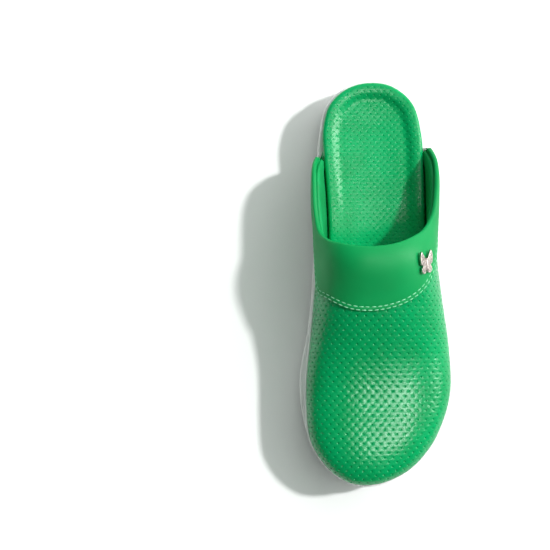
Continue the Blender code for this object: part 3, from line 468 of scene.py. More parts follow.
def flat_to_upper(flat):
    """Station, signed parameter and spare length to the base for points of the flat pattern.

    The pattern's first axis runs across the foot from the ridge, its second toward the heel.
    Ahead of the fan centre the leather wraps round the toe, so the pattern is read as polar.
    """
    u, v = flat[:, 0], flat[:, 1]
    ahead = v < 0
    reach = np.where(ahead, np.hypot(u, v), np.abs(u))
    turn = np.where(ahead, np.arctan2(-v, np.abs(u)), 0.0)
    station = np.where(ahead, -turn / (math.pi / 2) * FAN_LENGTH, v)
    medial, medial_whole = parameter_at(station, reach, -1)
    lateral, lateral_whole = parameter_at(station, reach, 1)
    left = u < 0
    whole = np.where(left, medial_whole, lateral_whole)
    return station, np.where(left, -medial, lateral), whole - reach


def brick_sheet(size, dimple, columns, rows):
    """Flat sheet of bricks in running bond with a dimple in each.

    Returns brick centres, points (brick, point, axis), the depth of each point and the faces
    of one brick.
    """
    width, height = size
    radius, depth = dimple
    count = len(BRICK_EDGE)
    angle = np.radians(BRICK_TURN + 360 / count * np.arange(count))
    rings = [(np.array(BRICK_EDGE) - 0.5) * size]
    depths = [np.zeros(count)]
    for share, sunk in DIMPLE_RINGS:
        rings.append(radius * share * np.column_stack([np.cos(angle), np.sin(angle)]))
        depths.append(np.full(count, sunk * depth))
    local = np.vstack(rings + [np.zeros((1, 2))])
    depths = np.concatenate(depths + [[depth]])
    faces = grid_faces(len(rings), count, wrap=True)
    last = count * (len(rings) - 1)
    faces += [(last + k, last + (k + 1) % count, last + count) for k in range(count)]
    centres = np.array([((column + 0.5 * (row % 2)) * width, row * height)
                        for row in range(*rows) for column in range(*columns)])
    return centres, centres[:, None, :] + local[None, :, :], depths, faces


def joined_bricks(points, depths, faces):
    """Bricks with their shared edge points made one: flat points, depths and all the faces."""
    count = points.shape[1]
    flat = points.reshape(-1, 2)
    _, first, index = np.unique(np.round(flat, 3), axis=0, return_index=True, return_inverse=True)
    index = index.reshape(-1)
    every = []
    for brick in range(points.shape[0]):
        start = brick * count
        every.extend(tuple(int(index[start + i]) for i in face) for face in faces)
    return flat[first], np.tile(depths, points.shape[0])[first], every


# ================================================================ mesh helpers
def add_object(name, data):
    """New object in the scene."""
    obj = bpy.data.objects.new(name, data)
    bpy.context.scene.collection.objects.link(obj)
    return obj


def new_piece(name, points, faces, material, merge=0.0, sharp=50):
    """Mesh object in metres from millimetre points; merge welds points this close, in mm."""
    mesh = bpy.data.meshes.new(name)
    mesh.from_pydata((np.asarray(points, dtype=float) * MM).tolist(), [], faces)
    if merge:
        bm = bmesh.new()
        bm.from_mesh(mesh)
        bmesh.ops.remove_doubles(bm, verts=bm.verts, dist=merge * MM)
        bmesh.ops.dissolve_degenerate(bm, edges=bm.edges, dist=merge * MM)
        bm.to_mesh(mesh)
        bm.free()
    mesh.shade_smooth()
    mesh.set_sharp_from_angle(angle=math.radians(sharp))
    mesh.materials.append(material)
    return add_object(name, mesh)


def settle(obj, slot, *nodes):
    """Ride on the part's one body and stand for CAD nodes, which are hidden; slot is not used."""
    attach(obj, "root")
    if nodes:
        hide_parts(*nodes)
    return obj


def grid_faces(rows, columns, wrap=False):
    """Quads of a grid of points stored row by row; wrap joins the last column to the first."""
    last = columns if wrap else columns - 1
    faces = []
    for i in range(rows - 1):
        here, there = i * columns, (i + 1) * columns
        for j in range(last):
            k = (j + 1) % columns
            faces.append((here + j, here + k, there + k, there + j))
    return faces


def flipped(faces):
    """The same faces, turned over."""
    return [face[::-1] for face in faces]


def rods(paths, radii, sides):
    """Round rods along paths, closed at both ends; radii holds one radius for each path point."""
    points, faces = [], []
    for path in paths:
        tangent = np.gradient(path, axis=0)
        tangent /= np.linalg.norm(tangent, axis=1)[:, None]
        side = np.cross(tangent, ROD_HELPER)
        side /= np.linalg.norm(side, axis=1)[:, None]
        up = np.cross(side, tangent)
        start = len(points)
        for place, radius, across_side, across_up in zip(path, radii, side, up):
            for k in range(sides):
                angle = 2 * math.pi * k / sides
                spoke = math.cos(angle) * across_side + math.sin(angle) * across_up
                points.append(place + radius * spoke)
        body = grid_faces(len(path), sides, wrap=True)
        body += [tuple(range(sides))[::-1], tuple(range(sides * (len(path) - 1), sides * len(path)))]
        faces.extend(tuple(start + i for i in face) for face in body)
    return points, flipped(faces)


def ladder_cap(ring, columns, height):
    """Points and faces that close a ring with rungs from its medial to its lateral half."""
    count = len(ring)
    half = count // 2
    points = []
    index = {}
    for i in range(1, half):
        for j in range(1, columns):
            x, y = ring[i, :2] + (ring[count - i, :2] - ring[i, :2]) * j / columns
            index[(i, j)] = count + len(points)
            points.append((x, y, float(height(y))))
    for i in range(half + 1):
        index[(i, 0)] = i
        index[(i, columns)] = (count - i) % count
    for j in range(1, columns):
        index[(0, j)] = 0
        index[(half, j)] = half
    faces = []
    for i in range(half):
        for j in range(columns):
            corners = (index[(i, j)], index[(i, j + 1)], index[(i + 1, j + 1)], index[(i + 1, j)])
            corners = tuple(dict.fromkeys(corners))
            if len(corners) > 2:
                faces.append(corners)
    return points, faces


# ================================================================ materials
def srgb(red, green, blue):
    """Linear colour of an sRGB triple from 0 to 255."""
    return tuple((c / 255 / 12.92 if c / 255 <= 0.04045 else ((c / 255 + 0.055) / 1.055) ** 2.4)
                 for c in (red, green, blue)) + (1.0,)


class Look:
    """A Principled material built from nodes; sizes and heights are given in millimetres."""

    def __init__(self, name, roughness, metallic=0.0, specular=0.5):
        self.material = bpy.data.materials.new(name)
        self.material.use_nodes = True
        self.tree = self.material.node_tree
        self.shader = self.tree.nodes["Principled BSDF"]
        self.shader.inputs["Roughness"].default_value = roughness
        self.shader.inputs["Metallic"].default_value = metallic
        self.shader.inputs["Specular IOR Level"].default_value = specular
        self.place = self.tree.nodes.new("ShaderNodeTexCoord").outputs["Object"]
        self.normal = None

    def texture(self, kind, scale):
        """Texture node that reads the piece's own coordinates at a scale along each axis."""
        mapping = self.tree.nodes.new("ShaderNodeMapping")
        mapping.inputs["Scale"].default_value = scale
        self.tree.links.new(self.place, mapping.inputs["Vector"])
        texture = self.tree.nodes.new(kind)
        texture.inputs["Scale"].default_value = 1.0
        self.tree.links.new(mapping.outputs["Vector"], texture.inputs["Vector"])
        return texture

    def noise(self, size, detail=2.0, roughness=0.5, stretch=(1, 1, 1)):
        """Noise whose features are about size millimetres across."""
        noise = self.texture("ShaderNodeTexNoise", [axis * MM_PER_METRE / size for axis in stretch])
        noise.inputs["Detail"].default_value = detail
        noise.inputs["Roughness"].default_value = roughness
        return noise.outputs["Fac"]

    def cells(self, size):
        """Distance field of rounded cells about size millimetres across."""
        return self.texture("ShaderNodeTexVoronoi", [MM_PER_METRE / size] * 3).outputs["Distance"]

    def colour(self, field, low, high):
        """Base colour that runs from low to high with a field."""
        ramp = self.tree.nodes.new("ShaderNodeValToRGB")
        ramp.color_ramp.elements[0].position = RAMP_START
        ramp.color_ramp.elements[0].color = low
        ramp.color_ramp.elements[1].position = RAMP_END
        ramp.color_ramp.elements[1].color = high
        self.tree.links.new(field, ramp.inputs["Fac"])
        self.tree.links.new(ramp.outputs["Color"], self.shader.inputs["Base Color"])

    def roughness(self, field, low, high):
        """Roughness that runs from low to high with a field."""
        ranged = self.tree.nodes.new("ShaderNodeMapRange")
        ranged.inputs["From Min"].default_value = GLOSS_START
        ranged.inputs["From Max"].default_value = GLOSS_END
        ranged.inputs["To Min"].default_value = low
        ranged.inputs["To Max"].default_value = high
        self.tree.links.new(field, ranged.inputs["Value"])
        self.tree.links.new(ranged.outputs["Result"], self.shader.inputs["Roughness"])

    def bump(self, field, height):
        """Relief of a height in millimetres, laid over any earlier one."""
        bump = self.tree.nodes.new("ShaderNodeBump")
        bump.inputs["Distance"].default_value = height * MM
        self.tree.links.new(field, bump.inputs["Height"])
        if self.normal:
            self.tree.links.new(self.normal, bump.inputs["Normal"])
        self.normal = bump.outputs["Normal"]
        self.tree.links.new(self.normal, self.shader.inputs["Normal"])


def pebbled_leather(name, low, high, gloss, grain, relief):
    """Printed leather-look surface: soft pebbles of a given size with fine creases between."""
    look = Look(name, gloss, specular=0.4)
    look.colour(look.noise(24, 3), low, high)
    look.roughness(look.noise(5, 3), gloss - 0.04, gloss + 0.06)
    look.bump(look.cells(grain), relief)
    look.bump(look.noise(grain * 0.45, 3, 0.6), relief * 0.55)
    return look.material


def smooth_leather():
    look = Look("collar_leather", 0.5, specular=0.22)
    look.colour(look.noise(30, 2), srgb(0, 149, 77), srgb(0, 157, 83))
    look.roughness(look.noise(9, 3), 0.46, 0.54)
    look.bump(look.noise(1.1, 4, 0.6), 0.018)
    look.bump(look.cells(0.5), 0.008)
    return look.material


def lining_fabric():
    look = Look("lining_microfibre", 0.62, specular=0.3)
    look.colour(look.noise(12, 3), srgb(0, 150, 80), srgb(2, 162, 90))
    look.roughness(look.noise(3, 3), 0.55, 0.7)
    look.bump(look.noise(0.35, 4, 0.7), 0.03)
    return look.material


def thread():
    look = Look("stitch_thread", 0.5, specular=0.4)
    look.colour(look.noise(0.9, 2), srgb(118, 214, 160), srgb(148, 226, 184))
    look.bump(look.noise(0.3, 2, 0.5, (1, 3.5, 1)), 0.07)
    return look.material


def moulded_foam():
    look = Look("sole_foam", 0.5, specular=0.4)
    look.colour(look.noise(40, 3), srgb(236, 238, 236), srgb(246, 247, 246))
    look.roughness(look.noise(4, 3), 0.44, 0.58)
    look.bump(look.noise(0.5, 3, 0.6), 0.02)
    look.bump(look.cells(0.9), 0.012)
    return look.material


def tread_rubber():
    look = Look("tread_rubber", 0.65, specular=0.35)
    look.colour(look.noise(18, 3), srgb(222, 224, 220), srgb(234, 236, 232))
    look.roughness(look.noise(3, 3), 0.58, 0.74)
    look.bump(look.noise(0.6, 4, 0.65), 0.05)
    return look.material


def inner_foam():
    look = Look("inner_foam", 0.9, specular=0.2)
    look.colour(look.noise(6, 3), srgb(214, 212, 196), srgb(228, 226, 212))
    look.bump(look.cells(1.2), 0.15)
    return look.material


def fibre_board():
    look = Look("fibre_board", 0.85, specular=0.2)
    look.colour(look.noise(3, 5, 0.7, (1, 0.4, 1)), srgb(150, 118, 80), srgb(186, 154, 112))
    look.bump(look.noise(0.8, 4, 0.7, (1, 0.4, 1)), 0.06)
    return look.material


def brushed_steel():
    look = Look("brushed_steel", 0.34, metallic=1.0)
    look.colour(look.noise(4, 2), srgb(196, 196, 196), srgb(214, 214, 214))
    look.roughness(look.noise(0.4, 2, 0.5, (8, 1, 1)), 0.26, 0.42)
    look.bump(look.noise(0.2, 2, 0.5, (10, 1, 1)), 0.006)
    return look.material


def polished_silver(name="polished_silver", glint=0.3):
    look = Look(name, glint, metallic=1.0)
    look.colour(look.noise(1.2, 3), srgb(176, 166, 158), srgb(222, 213, 206))
    look.roughness(look.noise(0.8, 3), glint, glint + 0.14)
    look.bump(look.noise(0.7, 3, 0.6), 0.12)
    return look.material


def floor_paper():
    look = Look("floor_paper", 0.9, specular=0.0)
    look.colour(look.noise(300, 2), (0.90, 0.905, 0.90, 1), (0.92, 0.925, 0.92, 1))
    return look.material


# ================================================================ the upper
def make_vamp(material):
    """Dimpled leather drawn round the toe from one flat piece."""
    width, height = VAMP_BRICK
    columns = (-int(VAMP_SHEET_HALF / width), int(VAMP_SHEET_HALF / width))
    rows = (-int(VAMP_SHEET_AHEAD / height), int(VAMP_SHEET_BEHIND / height))
    centres, points, depths, faces = brick_sheet(VAMP_BRICK, VAMP_DIMPLE, columns, rows)
    station, t, spare = flat_to_upper(centres)
    ends = np.where(t < 0, seam_station(t, -1), seam_station(t, 1))
    kept = (spare > -height) & (station < ends + UNDER_BAND)
    flat, depth, every = joined_bricks(points[kept], depths, faces)
    places = pattern_point(flat)
    along_u = pattern_point(flat + [PROBE, 0]) - pattern_point(flat - [PROBE, 0])
    along_v = pattern_point(flat + [0, PROBE]) - pattern_point(flat - [0, PROBE])
    normal = np.cross(along_u, along_v)
    size = np.linalg.norm(normal, axis=1)[:, None]
    normal = np.where(size < NO_SLOPE, 0, normal / np.maximum(size, TINY))
    piece = new_piece("vamp_leather", places - normal * depth[:, None], every, material, merge=0.02)
    return settle(piece, "perforated_leather", "vamp")


def pattern_point(flat):
    """Places on the master surface for points of the flat pattern."""
    station, t, _ = flat_to_upper(flat)
    return master_point(station, t)


def make_vamp_lining(material):
    """Lining of the forefoot, as a thin closed shell."""
    fan = np.linspace(-FAN_LENGTH, 0, 26)[:-1]
    ts = np.linspace(-1, 1, 91)
    rows = [np.full(len(ts), station) for station in fan]
    ends = np.where(ts < 0, seam_station(ts, -1), seam_station(ts, 1))
    rows += [ends * share for share in np.linspace(0, 1, 46)]
    stations = np.array(rows)
    room = PUFF_ROOM * ease(np.clip((PUFF_END - stations) / PUFF_FADE, 0, 1))
    outer = upper_point(stations, ts[None, :], LINING_IN + LINING_THICK - room)
    points = outer.reshape(-1, 3)
    piece = new_piece("forefoot_lining", points, grid_faces(len(rows), len(ts)), material, merge=0.03)
    wall = piece.modifiers.new("thickness", "SOLIDIFY")
    wall.thickness = LINING_THICK * MM
    wall.offset = -1
    return settle(piece, "lining", "vamp_lining")


def band_columns(per_side):
    """Matching stations along the topline and along the band's lower edge."""
    top = across(side_path(MEDIAL_TOPLINE, -1), side_path(LATERAL_TOPLINE, 1), per_side)
    halves = []
    for side, hem in ((-1, MEDIAL_HEM), (1, LATERAL_HEM)):
        front = slide(seam_path(side, BAND_SEAM_END), -side * BAND_DROP)
        halves.append(np.vstack([front, side_path(hem, side)]))
    return top, across(halves[0], halves[1], per_side)


def lining_columns(per_side):
    """Stations along the topline and along the foot of the lining, near the footbed."""
    top = across(side_path(MEDIAL_TOPLINE, -1), side_path(LATERAL_TOPLINE, 1), per_side)
    halves = []
    for side, last in LINING_ENDS:
        front = seam_path(side, INNER_HEM) + np.array([LINING_FOOT_BACK, 0])
        halves.append(np.vstack([front, [last - FAN_CENTRE_Y, side * LINING_END_T]]))
    return top, across(halves[0], halves[1], per_side)


class Ruled:
    """Surface ruled on the upper between a top path and a bottom path, read by distance."""

    def __init__(self, top, bottom):
        self.top, self.bottom = top, bottom
        self.mixes = np.linspace(0, 1, 41)
        fine = [top * (1 - mix) + bottom * mix for mix in self.mixes]
        places = np.array([master_point(line[:, 0], line[:, 1]) for line in fine])
        steps = np.linalg.norm(np.diff(places, axis=0), axis=2)
        self.depth = np.vstack([np.zeros(len(top)), np.cumsum(steps, axis=0)])
        self.taper = tip_taper(top)

    def line(self, distance):
        """Station and parameter of every column at its own distance below the top path."""
        mix = np.array([np.interp(d, column, self.mixes) for d, column in zip(distance, self.depth.T)])
        return self.top * (1 - mix[:, None]) + self.bottom * mix[:, None]

    def row(self, distance, lift):
        """Points a distance below the top path; toward the tips the lift closes to the middle."""
        line = self.line(distance)
        return upper_point(line[:, 0], line[:, 1], MIDDLE_LIFT + (lift - MIDDLE_LIFT) * self.taper)


def tip_taper(path):
    """0 at both tips of a path rising to 1 a little way in, as a quarter circle."""
    along = lengths_along(master_point(path[:, 0], path[:, 1]))
    near = np.clip(np.minimum(along, along[-1] - along) / TIP_ROUNDING, 0, 1)
    return np.sqrt(near * (2 - near))


def make_collar_band(material):
    """Smooth collar: stitched lower edge, flat band and the edge rolled over at the topline."""
    top, hem = band_columns(COLLAR_COLUMNS)
    ruled = Ruled(top, hem)
    whole = ruled.depth[-1]
    rows = [ruled.row(whole - edge, lift) for edge, lift in HEM_PROFILE]
    for share in np.linspace(0, 1, 20)[1:-1]:
        distance = (whole - HEM_PROFILE[-1][0]) * (1 - share) + ROLL_CENTRE[0] * share
        rows.append(ruled.row(np.maximum(distance, ROLL_CENTRE[0]), BAND_OUT))
    level = np.full(len(top), ROLL_CENTRE[0])
    line = ruled.line(level)
    lower = ruled.line(level + ROLL_LOOK)
    normal = surface_normal(line[:, 0], line[:, 1])
    upward = master_point(line[:, 0], line[:, 1]) - master_point(lower[:, 0], lower[:, 1])
    upward -= normal * (upward * normal).sum(axis=1)[:, None]
    upward /= np.linalg.norm(upward, axis=1)[:, None]
    centre = ruled.row(level, ROLL_CENTRE[1])
    for angle in np.radians(np.linspace(0, ROLL_TURN, 16)):
        offset = normal * math.cos(angle) + upward * math.sin(angle)
        rows.append(centre + offset * (ROLL_RADIUS * ruled.taper)[:, None])
    faces = grid_faces(len(rows), len(top))
    piece = new_piece("collar_leather_band", np.vstack(rows), faces, material, merge=0.01, sharp=70)
    return settle(piece, "smooth_leather", "collar_band", "topline_binding")


def beside_footbed(foot):
    """Places just outside the footbed's edge and below its rim, level with the lining's foot."""
    outline = spline(FOOTBED_OUTLINE, 24, True)
    places = foot.copy()
    for side in (-1, 1):
        half = outline[side * outline[:, 0] > 0]
        half = half[np.argsort(half[:, 1])]
        here = side * foot[:, 0] > 0
        places[here, 0] = np.interp(foot[here, 1], half[:, 1], half[:, 0]) + side * LINING_CLEARANCE
    places[:, 2] = ledge(foot[:, 1]) + FOOTBED_RISE - RIM_CREST
    return places


def make_collar_lining(material):
    """Padded lining that starts in the groove under the rolled edge and runs down inside."""
    top, foot = lining_columns(COLLAR_COLUMNS)
    ruled = Ruled(top, foot)
    whole = ruled.depth[-1]
    rows = [ruled.row(np.minimum(distance, whole), lift) for distance, lift in LINING_PROFILE]
    first, deepest = LINING_PROFILE[-1]
    for share in np.linspace(0, 1, 14)[1:]:
        distance = np.minimum(first + (whole - first) * share, whole)
        lift = deepest * (1 - share**2) + (LINING_IN - LINING_SINK) * share**2
        rows.append(ruled.row(distance, lift))
    weight = ease(np.clip((np.abs(foot[:, 1]) - PULL_START) / PULL_FADE, 0, 1))[:, None]
    pull = beside_footbed(rows[-1]) - rows[-1]
    shares = np.clip((np.arange(len(rows)) - len(LINING_PROFILE) + PULL_ROWS_ABOVE) / PULL_ROWS, 0, 1)
    rows = [row + weight * share**PULL_POWER * pull for row, share in zip(rows, shares)]
    last = rows[-1].copy()
    last[:, 2] -= weight[:, 0] * (last[:, 2] - ledge(last[:, 1]) - LINING_FLOAT)
    rows.append(last)
    faces = grid_faces(len(rows), len(top))
    piece = new_piece("collar_lining_roll", np.vstack(rows), faces, material, merge=0.01, sharp=70)
    return settle(piece, "lining", "collar_lining")


def stitch_paths(marks):
    """Arched centre lines of single stitches between neighbouring marks."""
    shares = np.linspace(0, 1, len(STITCH_SWELL))
    arch = np.sin(shares * math.pi) ** 0.7
    spare = (1 - STITCH_LENGTH / STITCH_PITCH) / 2
    paths = []
    for start, end in zip(marks[:-1], marks[1:]):
        mixes = spare + (1 - 2 * spare) * shares
        line = start[None, :] * (1 - mixes[:, None]) + end[None, :] * mixes[:, None]
        paths.append(upper_point(line[:, 0], line[:, 1], STITCH_LIFT + STITCH_ARCH * arch))
    return paths


def make_seam_stitches(material):
    """Two rows of single stitches along the collar's lower edge."""
    seam = across(seam_path(-1, BAND_SEAM_END), seam_path(1, BAND_SEAM_END), 120)
    for name, node, shift in (("stitches_front", "seam_thread_front", -ROW_SPACING / 2),
                              ("stitches_rear", "seam_thread_rear", ROW_SPACING / 2)):
        row = slide(seam, shift)
        places = master_point(row[:, 0], row[:, 1])
        length = np.linalg.norm(np.diff(places, axis=0), axis=1).sum()
        marks = spread(row, int(length / STITCH_PITCH) + 1)
        points, faces = rods(stitch_paths(marks), STITCH_RADIUS * np.array(STITCH_SWELL), 8)
        settle(new_piece(name, points, faces, material, sharp=80), "thread", node)


def make_bartacks(material):
    """Close zigzag bars on the lining at the back of each wing."""
    for name, node, side in (("bartack_bar_medial", "bartack_medial", -1),
                             ("bartack_bar_lateral", "bartack_lateral", 1)):
        count = 11
        stations = BARTACK_STATION - FAN_CENTRE_Y + np.linspace(-2.2, 2.2, count)
        t = side * (BARTACK_T + 0.02 * np.where(np.arange(count) % 2, 1, -1))
        path = upper_point(stations, t, LINING_IN - 0.35)
        dense = spline(path, 4, False)
        points, faces = rods([dense], np.full(len(dense), 0.3), 8)
        settle(new_piece(name, points, faces, material, sharp=80), "thread", node)


# ================================================================ sole, rand and footbed
def sole_height(y):
    """Height of the sole's underside, which the tread pads stand out from."""
    return ground_clearance(y) + PAD_STAND


def make_sole(material):
    """Sole moulding: side wall with its parting groove, closed above and below."""
    outline = resample(spline(SOLE_OUTLINE, 24, True), 360)
    rings = []
    for inset, height in WALL_LOW:
        flat = inset_ring(outline, inset)
        rings.append(np.column_stack([flat, ground_clearance(flat[:, 1]) + height]))
    for inset, height in WALL_HIGH:
        flat = inset_ring(outline, inset)
        rings.append(np.column_stack([flat, ledge(flat[:, 1]) + height]))
    count = len(outline)
    points = [tuple(p) for ring in rings for p in ring]
    faces = flipped(grid_faces(len(rings), count, wrap=True))
    for first, ring, height in ((0, rings[0], sole_height), ((len(rings) - 1) * count, rings[-1], ledge)):
        extra, cap = ladder_cap(ring, CAP_COLUMNS, height)
        start = len(points) - count
        points.extend(extra)
        cap = [tuple(first + i if i < count else start + i for i in face) for face in cap]
        faces.extend(flipped(cap) if first else cap)
    piece = new_piece("sole_moulding", points, faces, material)
    tidy_normals(piece)
    return settle(piece, "sole", "sole_unit")


def tidy_normals(piece):
    """Turn every face of a closed piece outward."""
    bm = bmesh.new()
    bm.from_mesh(piece.data)
    bmesh.ops.recalc_face_normals(bm, faces=bm.faces)
    bm.to_mesh(piece.data)
    bm.free()


def make_rand(material):
    """Narrow rounded rand that hugs the foot of the upper."""
    medial = np.concatenate([np.linspace(RAND_MEDIAL_END - FAN_CENTRE_Y, 0, 90),
                             np.linspace(0, -FAN_LENGTH, 70)[1:]])
    lateral = np.concatenate([np.linspace(-FAN_LENGTH, 0, 70)[1:],
                              np.linspace(0, RAND_LATERAL_END - FAN_CENTRE_Y, 90)[1:]])
    stations = np.concatenate([medial, lateral])
    sides = np.concatenate([np.full(len(medial), -1.0), np.full(len(lateral), 1.0)])
    rings = []
    for out, height in RAND_SECTION:
        loop = upper_point(stations, sides * (1 - RAND_LEAN * height), np.full(len(stations), out))
        loop[:, 2] = ledge(loop[:, 1]) + height
        rings.append(loop)
    points = [tuple(p) for ring in zip(*rings) for p in ring]
    count = len(RAND_SECTION)
    faces = grid_faces(len(stations), count, wrap=True)
    last = len(points) - count
    faces += [tuple(range(count)), tuple(range(last, last + count))]
    piece = new_piece("rand_strip", points, faces, material, merge=0.01, sharp=60)
    tidy_normals(piece)
    return settle(piece, "sole", "rand")


def rim_distance(points, outline):
    """Distance in from the footbed's edge, with the nearest edge point's index; negative outside."""
    nearest = np.concatenate([((part[:, None, :] - outline[None]) ** 2).sum(axis=2).argmin(axis=1)
                              for part in np.array_split(points, max(1, len(points) // 4000))])
    offset = points - outline[nearest]
    inside = np.sign((offset * inward_normals(outline)[nearest]).sum(axis=1))
    return inside * np.linalg.norm(offset, axis=1), nearest


def footbed_top(points, distance):
    """Height of the footbed's skin at plan points a distance in from its edge."""
    x, y = points[:, 0], points[:, 1]
    off_x = (x - ARCH_CENTRE[0]) / ARCH_SPREAD[0]
    off_y = (y - ARCH_CENTRE[1]) / ARCH_SPREAD[1]
    arch = ARCH_RISE * np.exp(-off_x**2 - off_y**2)
    drop = smooth_table(RIM_SHAPE, distance)
    bowl = BOWL * ease(np.clip((distance - BOWL_START) / BOWL_WIDTH, 0, 1))
    return ledge(y) + FOOTBED_RISE + (arch - smooth_table(RIM_HEIGHT, y)) * drop - bowl


def skirt_reach(outline):
    """How far the wrapped edge is turned out over the sole: only where the upper covers it."""
    side = np.where(outline[:, 0] < 0, SKIRT_MEDIAL, SKIRT_LATERAL)
    return side * ease(np.clip((SKIRT_END - outline[:, 1]) / SKIRT_FADE, 0, 1))


def make_footbed(material):
    """Perforated leather over the padded footbed: a dimpled dish and rim with a smooth roll."""
    width, height = FOOTBED_BRICK
    outline = resample(spline(FOOTBED_OUTLINE, 24, True), 600)
    across_half, along_half = int(FOOTBED_SHEET[0] / width), int(FOOTBED_SHEET[1] / height)
    centres, points, depths, faces = brick_sheet(
        FOOTBED_BRICK, FOOTBED_DIMPLE, (-across_half, across_half), (-along_half, along_half))
    distance, _ = rim_distance(centres, outline)
    kept = distance > RIM_CREST - height
    flat, depth, every = joined_bricks(points[kept], depths, faces)
    distance, nearest = rim_distance(flat, outline)
    crest = inset_ring(outline, RIM_CREST)
    outside = distance < RIM_CREST
    flat = np.where(outside[:, None], crest[nearest], flat)
    distance = np.maximum(distance, RIM_CREST)
    tops = footbed_top(flat, distance) - np.where(outside, 0, depth)
    points = [tuple(p) for p in np.column_stack([flat, tops])]
    start = len(points)
    rings = []
    for inset, fall in RIM_ROLL:
        ring = inset_ring(outline, inset)
        rings.append(np.column_stack([ring, ledge(ring[:, 1]) + FOOTBED_RISE - fall]))
    for share, height in SKIRT:
        ring = inset_ring(outline, -share * skirt_reach(outline)[:, None])
        rings.append(np.column_stack([ring, ledge(ring[:, 1]) + height]))
    points.extend(tuple(p) for ring in rings for p in ring)
    wrap = grid_faces(len(rings), len(outline), wrap=True)
    every.extend(tuple(start + i for i in face) for face in wrap)
    piece = new_piece("footbed_leather", points, every, material, merge=0.03, sharp=70)
    return settle(piece, "perforated_leather", "footbed_cover")


# ================================================================ charm
def charm_frame():
    """Matrix with its Z along the collar's normal at the charm and its Y toward the heel."""
    station, t = CHARM_STATION[0] - FAN_CENTRE_Y, CHARM_STATION[1]
    centre = upper_point(station, t, BAND_OUT)
    normal = Vector(surface_normal(station, t))
    up = Vector((CHARM_LEAN, 1, 0))
    side = up.cross(normal).normalized()
    up = normal.cross(side).normalized()
    matrix = Matrix((side, up, normal)).transposed().to_4x4()
    matrix.translation = Vector(centre) * MM
    return matrix


def wing_mesh():
    """Both wings as one flat, bevelled mesh."""
    curve = bpy.data.curves.new("charm_wings", "CURVE")
    curve.dimensions = "2D"
    curve.fill_mode = "BOTH"
    curve.extrude = (CHARM_THICK / 2 - CHARM_EDGE) * MM
    curve.bevel_depth = CHARM_EDGE * MM
    curve.bevel_resolution = 3
    curve.offset = -CHARM_EDGE * MM
    half = spline(BUTTERFLY_HALF, 6, False)
    outline = np.vstack([half, (half * [-1, 1])[::-1]])
    line = curve.splines.new("POLY")
    line.points.add(len(outline) - 1)
    for point, (x, y) in zip(line.points, outline):
        point.co = (x * MM, y * MM, 0, 1)
    line.use_cyclic_u = True
    wings = add_object("charm_wings", curve)
    mesh = bpy.data.meshes.new_from_object(wings.evaluated_get(bpy.context.evaluated_depsgraph_get()))
    bpy.data.objects.remove(wings)
    mesh.name = "butterfly_charm"
    return mesh


def make_butterfly(material, jewel):
    """Silver butterfly: bevelled wings, a slim body and small set beads on the wings."""
    mesh = wing_mesh()
    bm = bmesh.new()
    bm.from_mesh(mesh)
    lifted = 2 * GAP + CHARM_THICK / 2
    for vert in bm.verts:
        vert.co.z += lifted * MM + WING_LIFT * abs(vert.co.x)
    body = bmesh.ops.create_uvsphere(bm, u_segments=16, v_segments=10, radius=1.0)["verts"]
    body_centre = Vector((0, -CHARM_BODY_BACK, lifted + CHARM_BODY_RISE))
    for vert in body:
        vert.co = (vert.co * Vector(CHARM_BODY) + body_centre) * MM
    first_bead = len(bm.faces)
    rise = lifted + CHARM_THICK / 2 + BEAD_STAND
    for x, y in BUTTERFLY_BEADS:
        for mirror in (-1, 1):
            bead = bmesh.ops.create_uvsphere(bm, u_segments=10, v_segments=6, radius=BEAD_RADIUS * MM)
            place = Vector((mirror * x, y, rise + WING_LIFT * x)) * MM
            for vert in bead["verts"]:
                vert.co += place
    bm.faces.ensure_lookup_table()
    for face in bm.faces:
        face.material_index = 0
        face.smooth = True
    for face in bm.faces[first_bead:]:
        face.material_index = 1
    bm.transform(charm_frame())
    bm.to_mesh(mesh)
    bm.free()
    mesh.set_sharp_from_angle(angle=math.radians(45))
    mesh.materials.clear()
    mesh.materials.append(material)
    mesh.materials.append(jewel)
    return settle(add_object("butterfly_charm", mesh), "silver", "charm_butterfly")


# ================================================================ stage, light and camera
def dress_frame(looks):
    """Give every CAD node that stays its procedural material."""
    for name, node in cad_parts.items():
        look = looks.get(NODE_LOOKS.get(name))
        if look:
            node.data.materials.clear()
            node.data.materials.append(look)


def make_floor(material):
    """Large flat floor; it is part of the stage, not of the shoe."""
    half = FLOOR_HALF
    ring = [(-half, -half, 0), (half, -half, 0), (half, half, 0), (-half, half, 0)]
    new_piece("floor", ring, [(0, 1, 2, 3)], material)


def make_sky():
    """Soft white surroundings, brightest on one side and dim overhead and opposite."""
    world = bpy.data.worlds.new("studio")
    world.use_nodes = True
    tree = world.node_tree
    background = tree.nodes["Background"]
    place = tree.nodes.new("ShaderNodeTexCoord")
    facing = tree.nodes.new("ShaderNodeVectorMath")
    facing.operation = "DOT_PRODUCT"
    facing.inputs[1].default_value = SKY_TOWARD
    ramp = tree.nodes.new("ShaderNodeValToRGB")
    ramp.color_ramp.elements[0].color = [SKY_DIM * tint for tint in SKY_TINT] + [1]
    for position, level in SKY_LEVELS:
        stop = ramp.color_ramp.elements.new(position)
        stop.color = [level * tint for tint in SKY_TINT] + [1]
    tree.links.new(place.outputs["Generated"], facing.inputs[0])
    tree.links.new(facing.outputs["Value"], ramp.inputs["Fac"])
    tree.links.new(ramp.outputs["Color"], background.inputs["Color"])
    background.inputs["Strength"].default_value = SKY_STRENGTH
    world.cycles_visibility.glossy = False
    bpy.context.scene.world = world


def aim(obj, place):
    """Put a lamp at a place and point it at the origin."""
    obj.location = place * MM
    obj.rotation_euler = (-place).to_track_quat("-Z", "Y").to_euler()


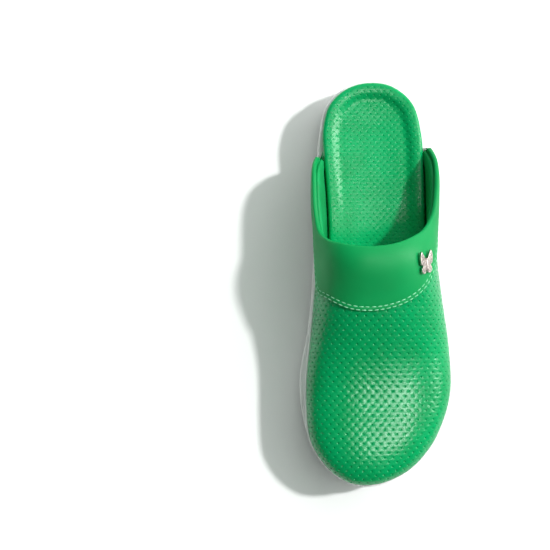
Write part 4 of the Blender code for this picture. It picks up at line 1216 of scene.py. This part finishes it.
def heading(azimuth, elevation):
    """Unit vector toward a direction given in degrees; azimuth 0 is +X."""
    azimuth, elevation = math.radians(azimuth), math.radians(elevation)
    flat = math.cos(elevation)
    return Vector((flat * math.cos(azimuth), flat * math.sin(azimuth), math.sin(elevation)))


def make_sun():
    """Sun that lights the shoe and throws its shadow; its sheen comes from the panels."""
    sun = bpy.data.lights.new("sun", "SUN")
    sun.energy = SUN_STRENGTH
    sun.angle = math.radians(SUN_ANGLE)
    sun_object = add_object("sun", sun)
    aim(sun_object, heading(SUN_AZIMUTH, SUN_ELEVATION) * LAMP_AWAY)
    sun_object.visible_glossy = False


def make_reflectors():
    """Soft round panels that are seen only as sheen on the leather."""
    for name, azimuth, elevation, spread_angle, radiance in REFLECTORS:
        panel = bpy.data.lights.new(name, "AREA")
        panel.shape = "DISK"
        panel.size = 2 * LAMP_AWAY * MM * math.tan(math.radians(spread_angle))
        panel.energy = radiance * math.pi * panel.size**2
        panel_object = add_object(name, panel)
        aim(panel_object, heading(azimuth, elevation) * LAMP_AWAY)
        panel_object.visible_diffuse = False


def make_camera():
    """Camera that looks straight down."""
    camera = bpy.data.cameras.new("camera")
    camera.lens = CAMERA_LENS
    camera.sensor_width = CAMERA_SENSOR
    camera.clip_start = CAMERA_NEAR
    camera_object = add_object("camera", camera)
    camera_object.location = Vector(CAMERA_PLACE) * MM
    bpy.context.scene.camera = camera_object


# ================================================================ assembly
def main():
    bpy.context.scene.view_settings.view_transform = "Standard"
    leather = pebbled_leather("vamp_pebbled", srgb(0, 150, 84), srgb(0, 159, 92), 0.23, 1.0, 0.06)
    footbed = pebbled_leather("footbed_pebbled", srgb(0, 158, 88), srgb(0, 170, 99), 0.27, 0.8, 0.09)
    looks = {"leather": leather, "footbed": footbed, "smooth": smooth_leather(), "lining": lining_fabric(),
             "thread": thread(), "foam_white": moulded_foam(), "tread": tread_rubber(), "foam": inner_foam(),
             "board": fibre_board(), "steel": brushed_steel(), "silver": polished_silver()}
    dress_frame(looks)
    make_sole(looks["foam_white"])
    make_footbed(footbed)
    make_vamp(leather)
    make_vamp_lining(looks["lining"])
    make_rand(looks["foam_white"])
    make_collar_band(looks["smooth"])
    make_collar_lining(looks["lining"])
    make_seam_stitches(looks["thread"])
    make_bartacks(looks["thread"])
    make_butterfly(looks["silver"], polished_silver("set_beads", 0.12))
    make_floor(floor_paper())
    make_sky()
    make_sun()
    make_reflectors()
    make_camera()


def corners(box):
    """Plain lists for a bounding box's two corners."""
    return [[float(value) for value in corner] for corner in box]


main()
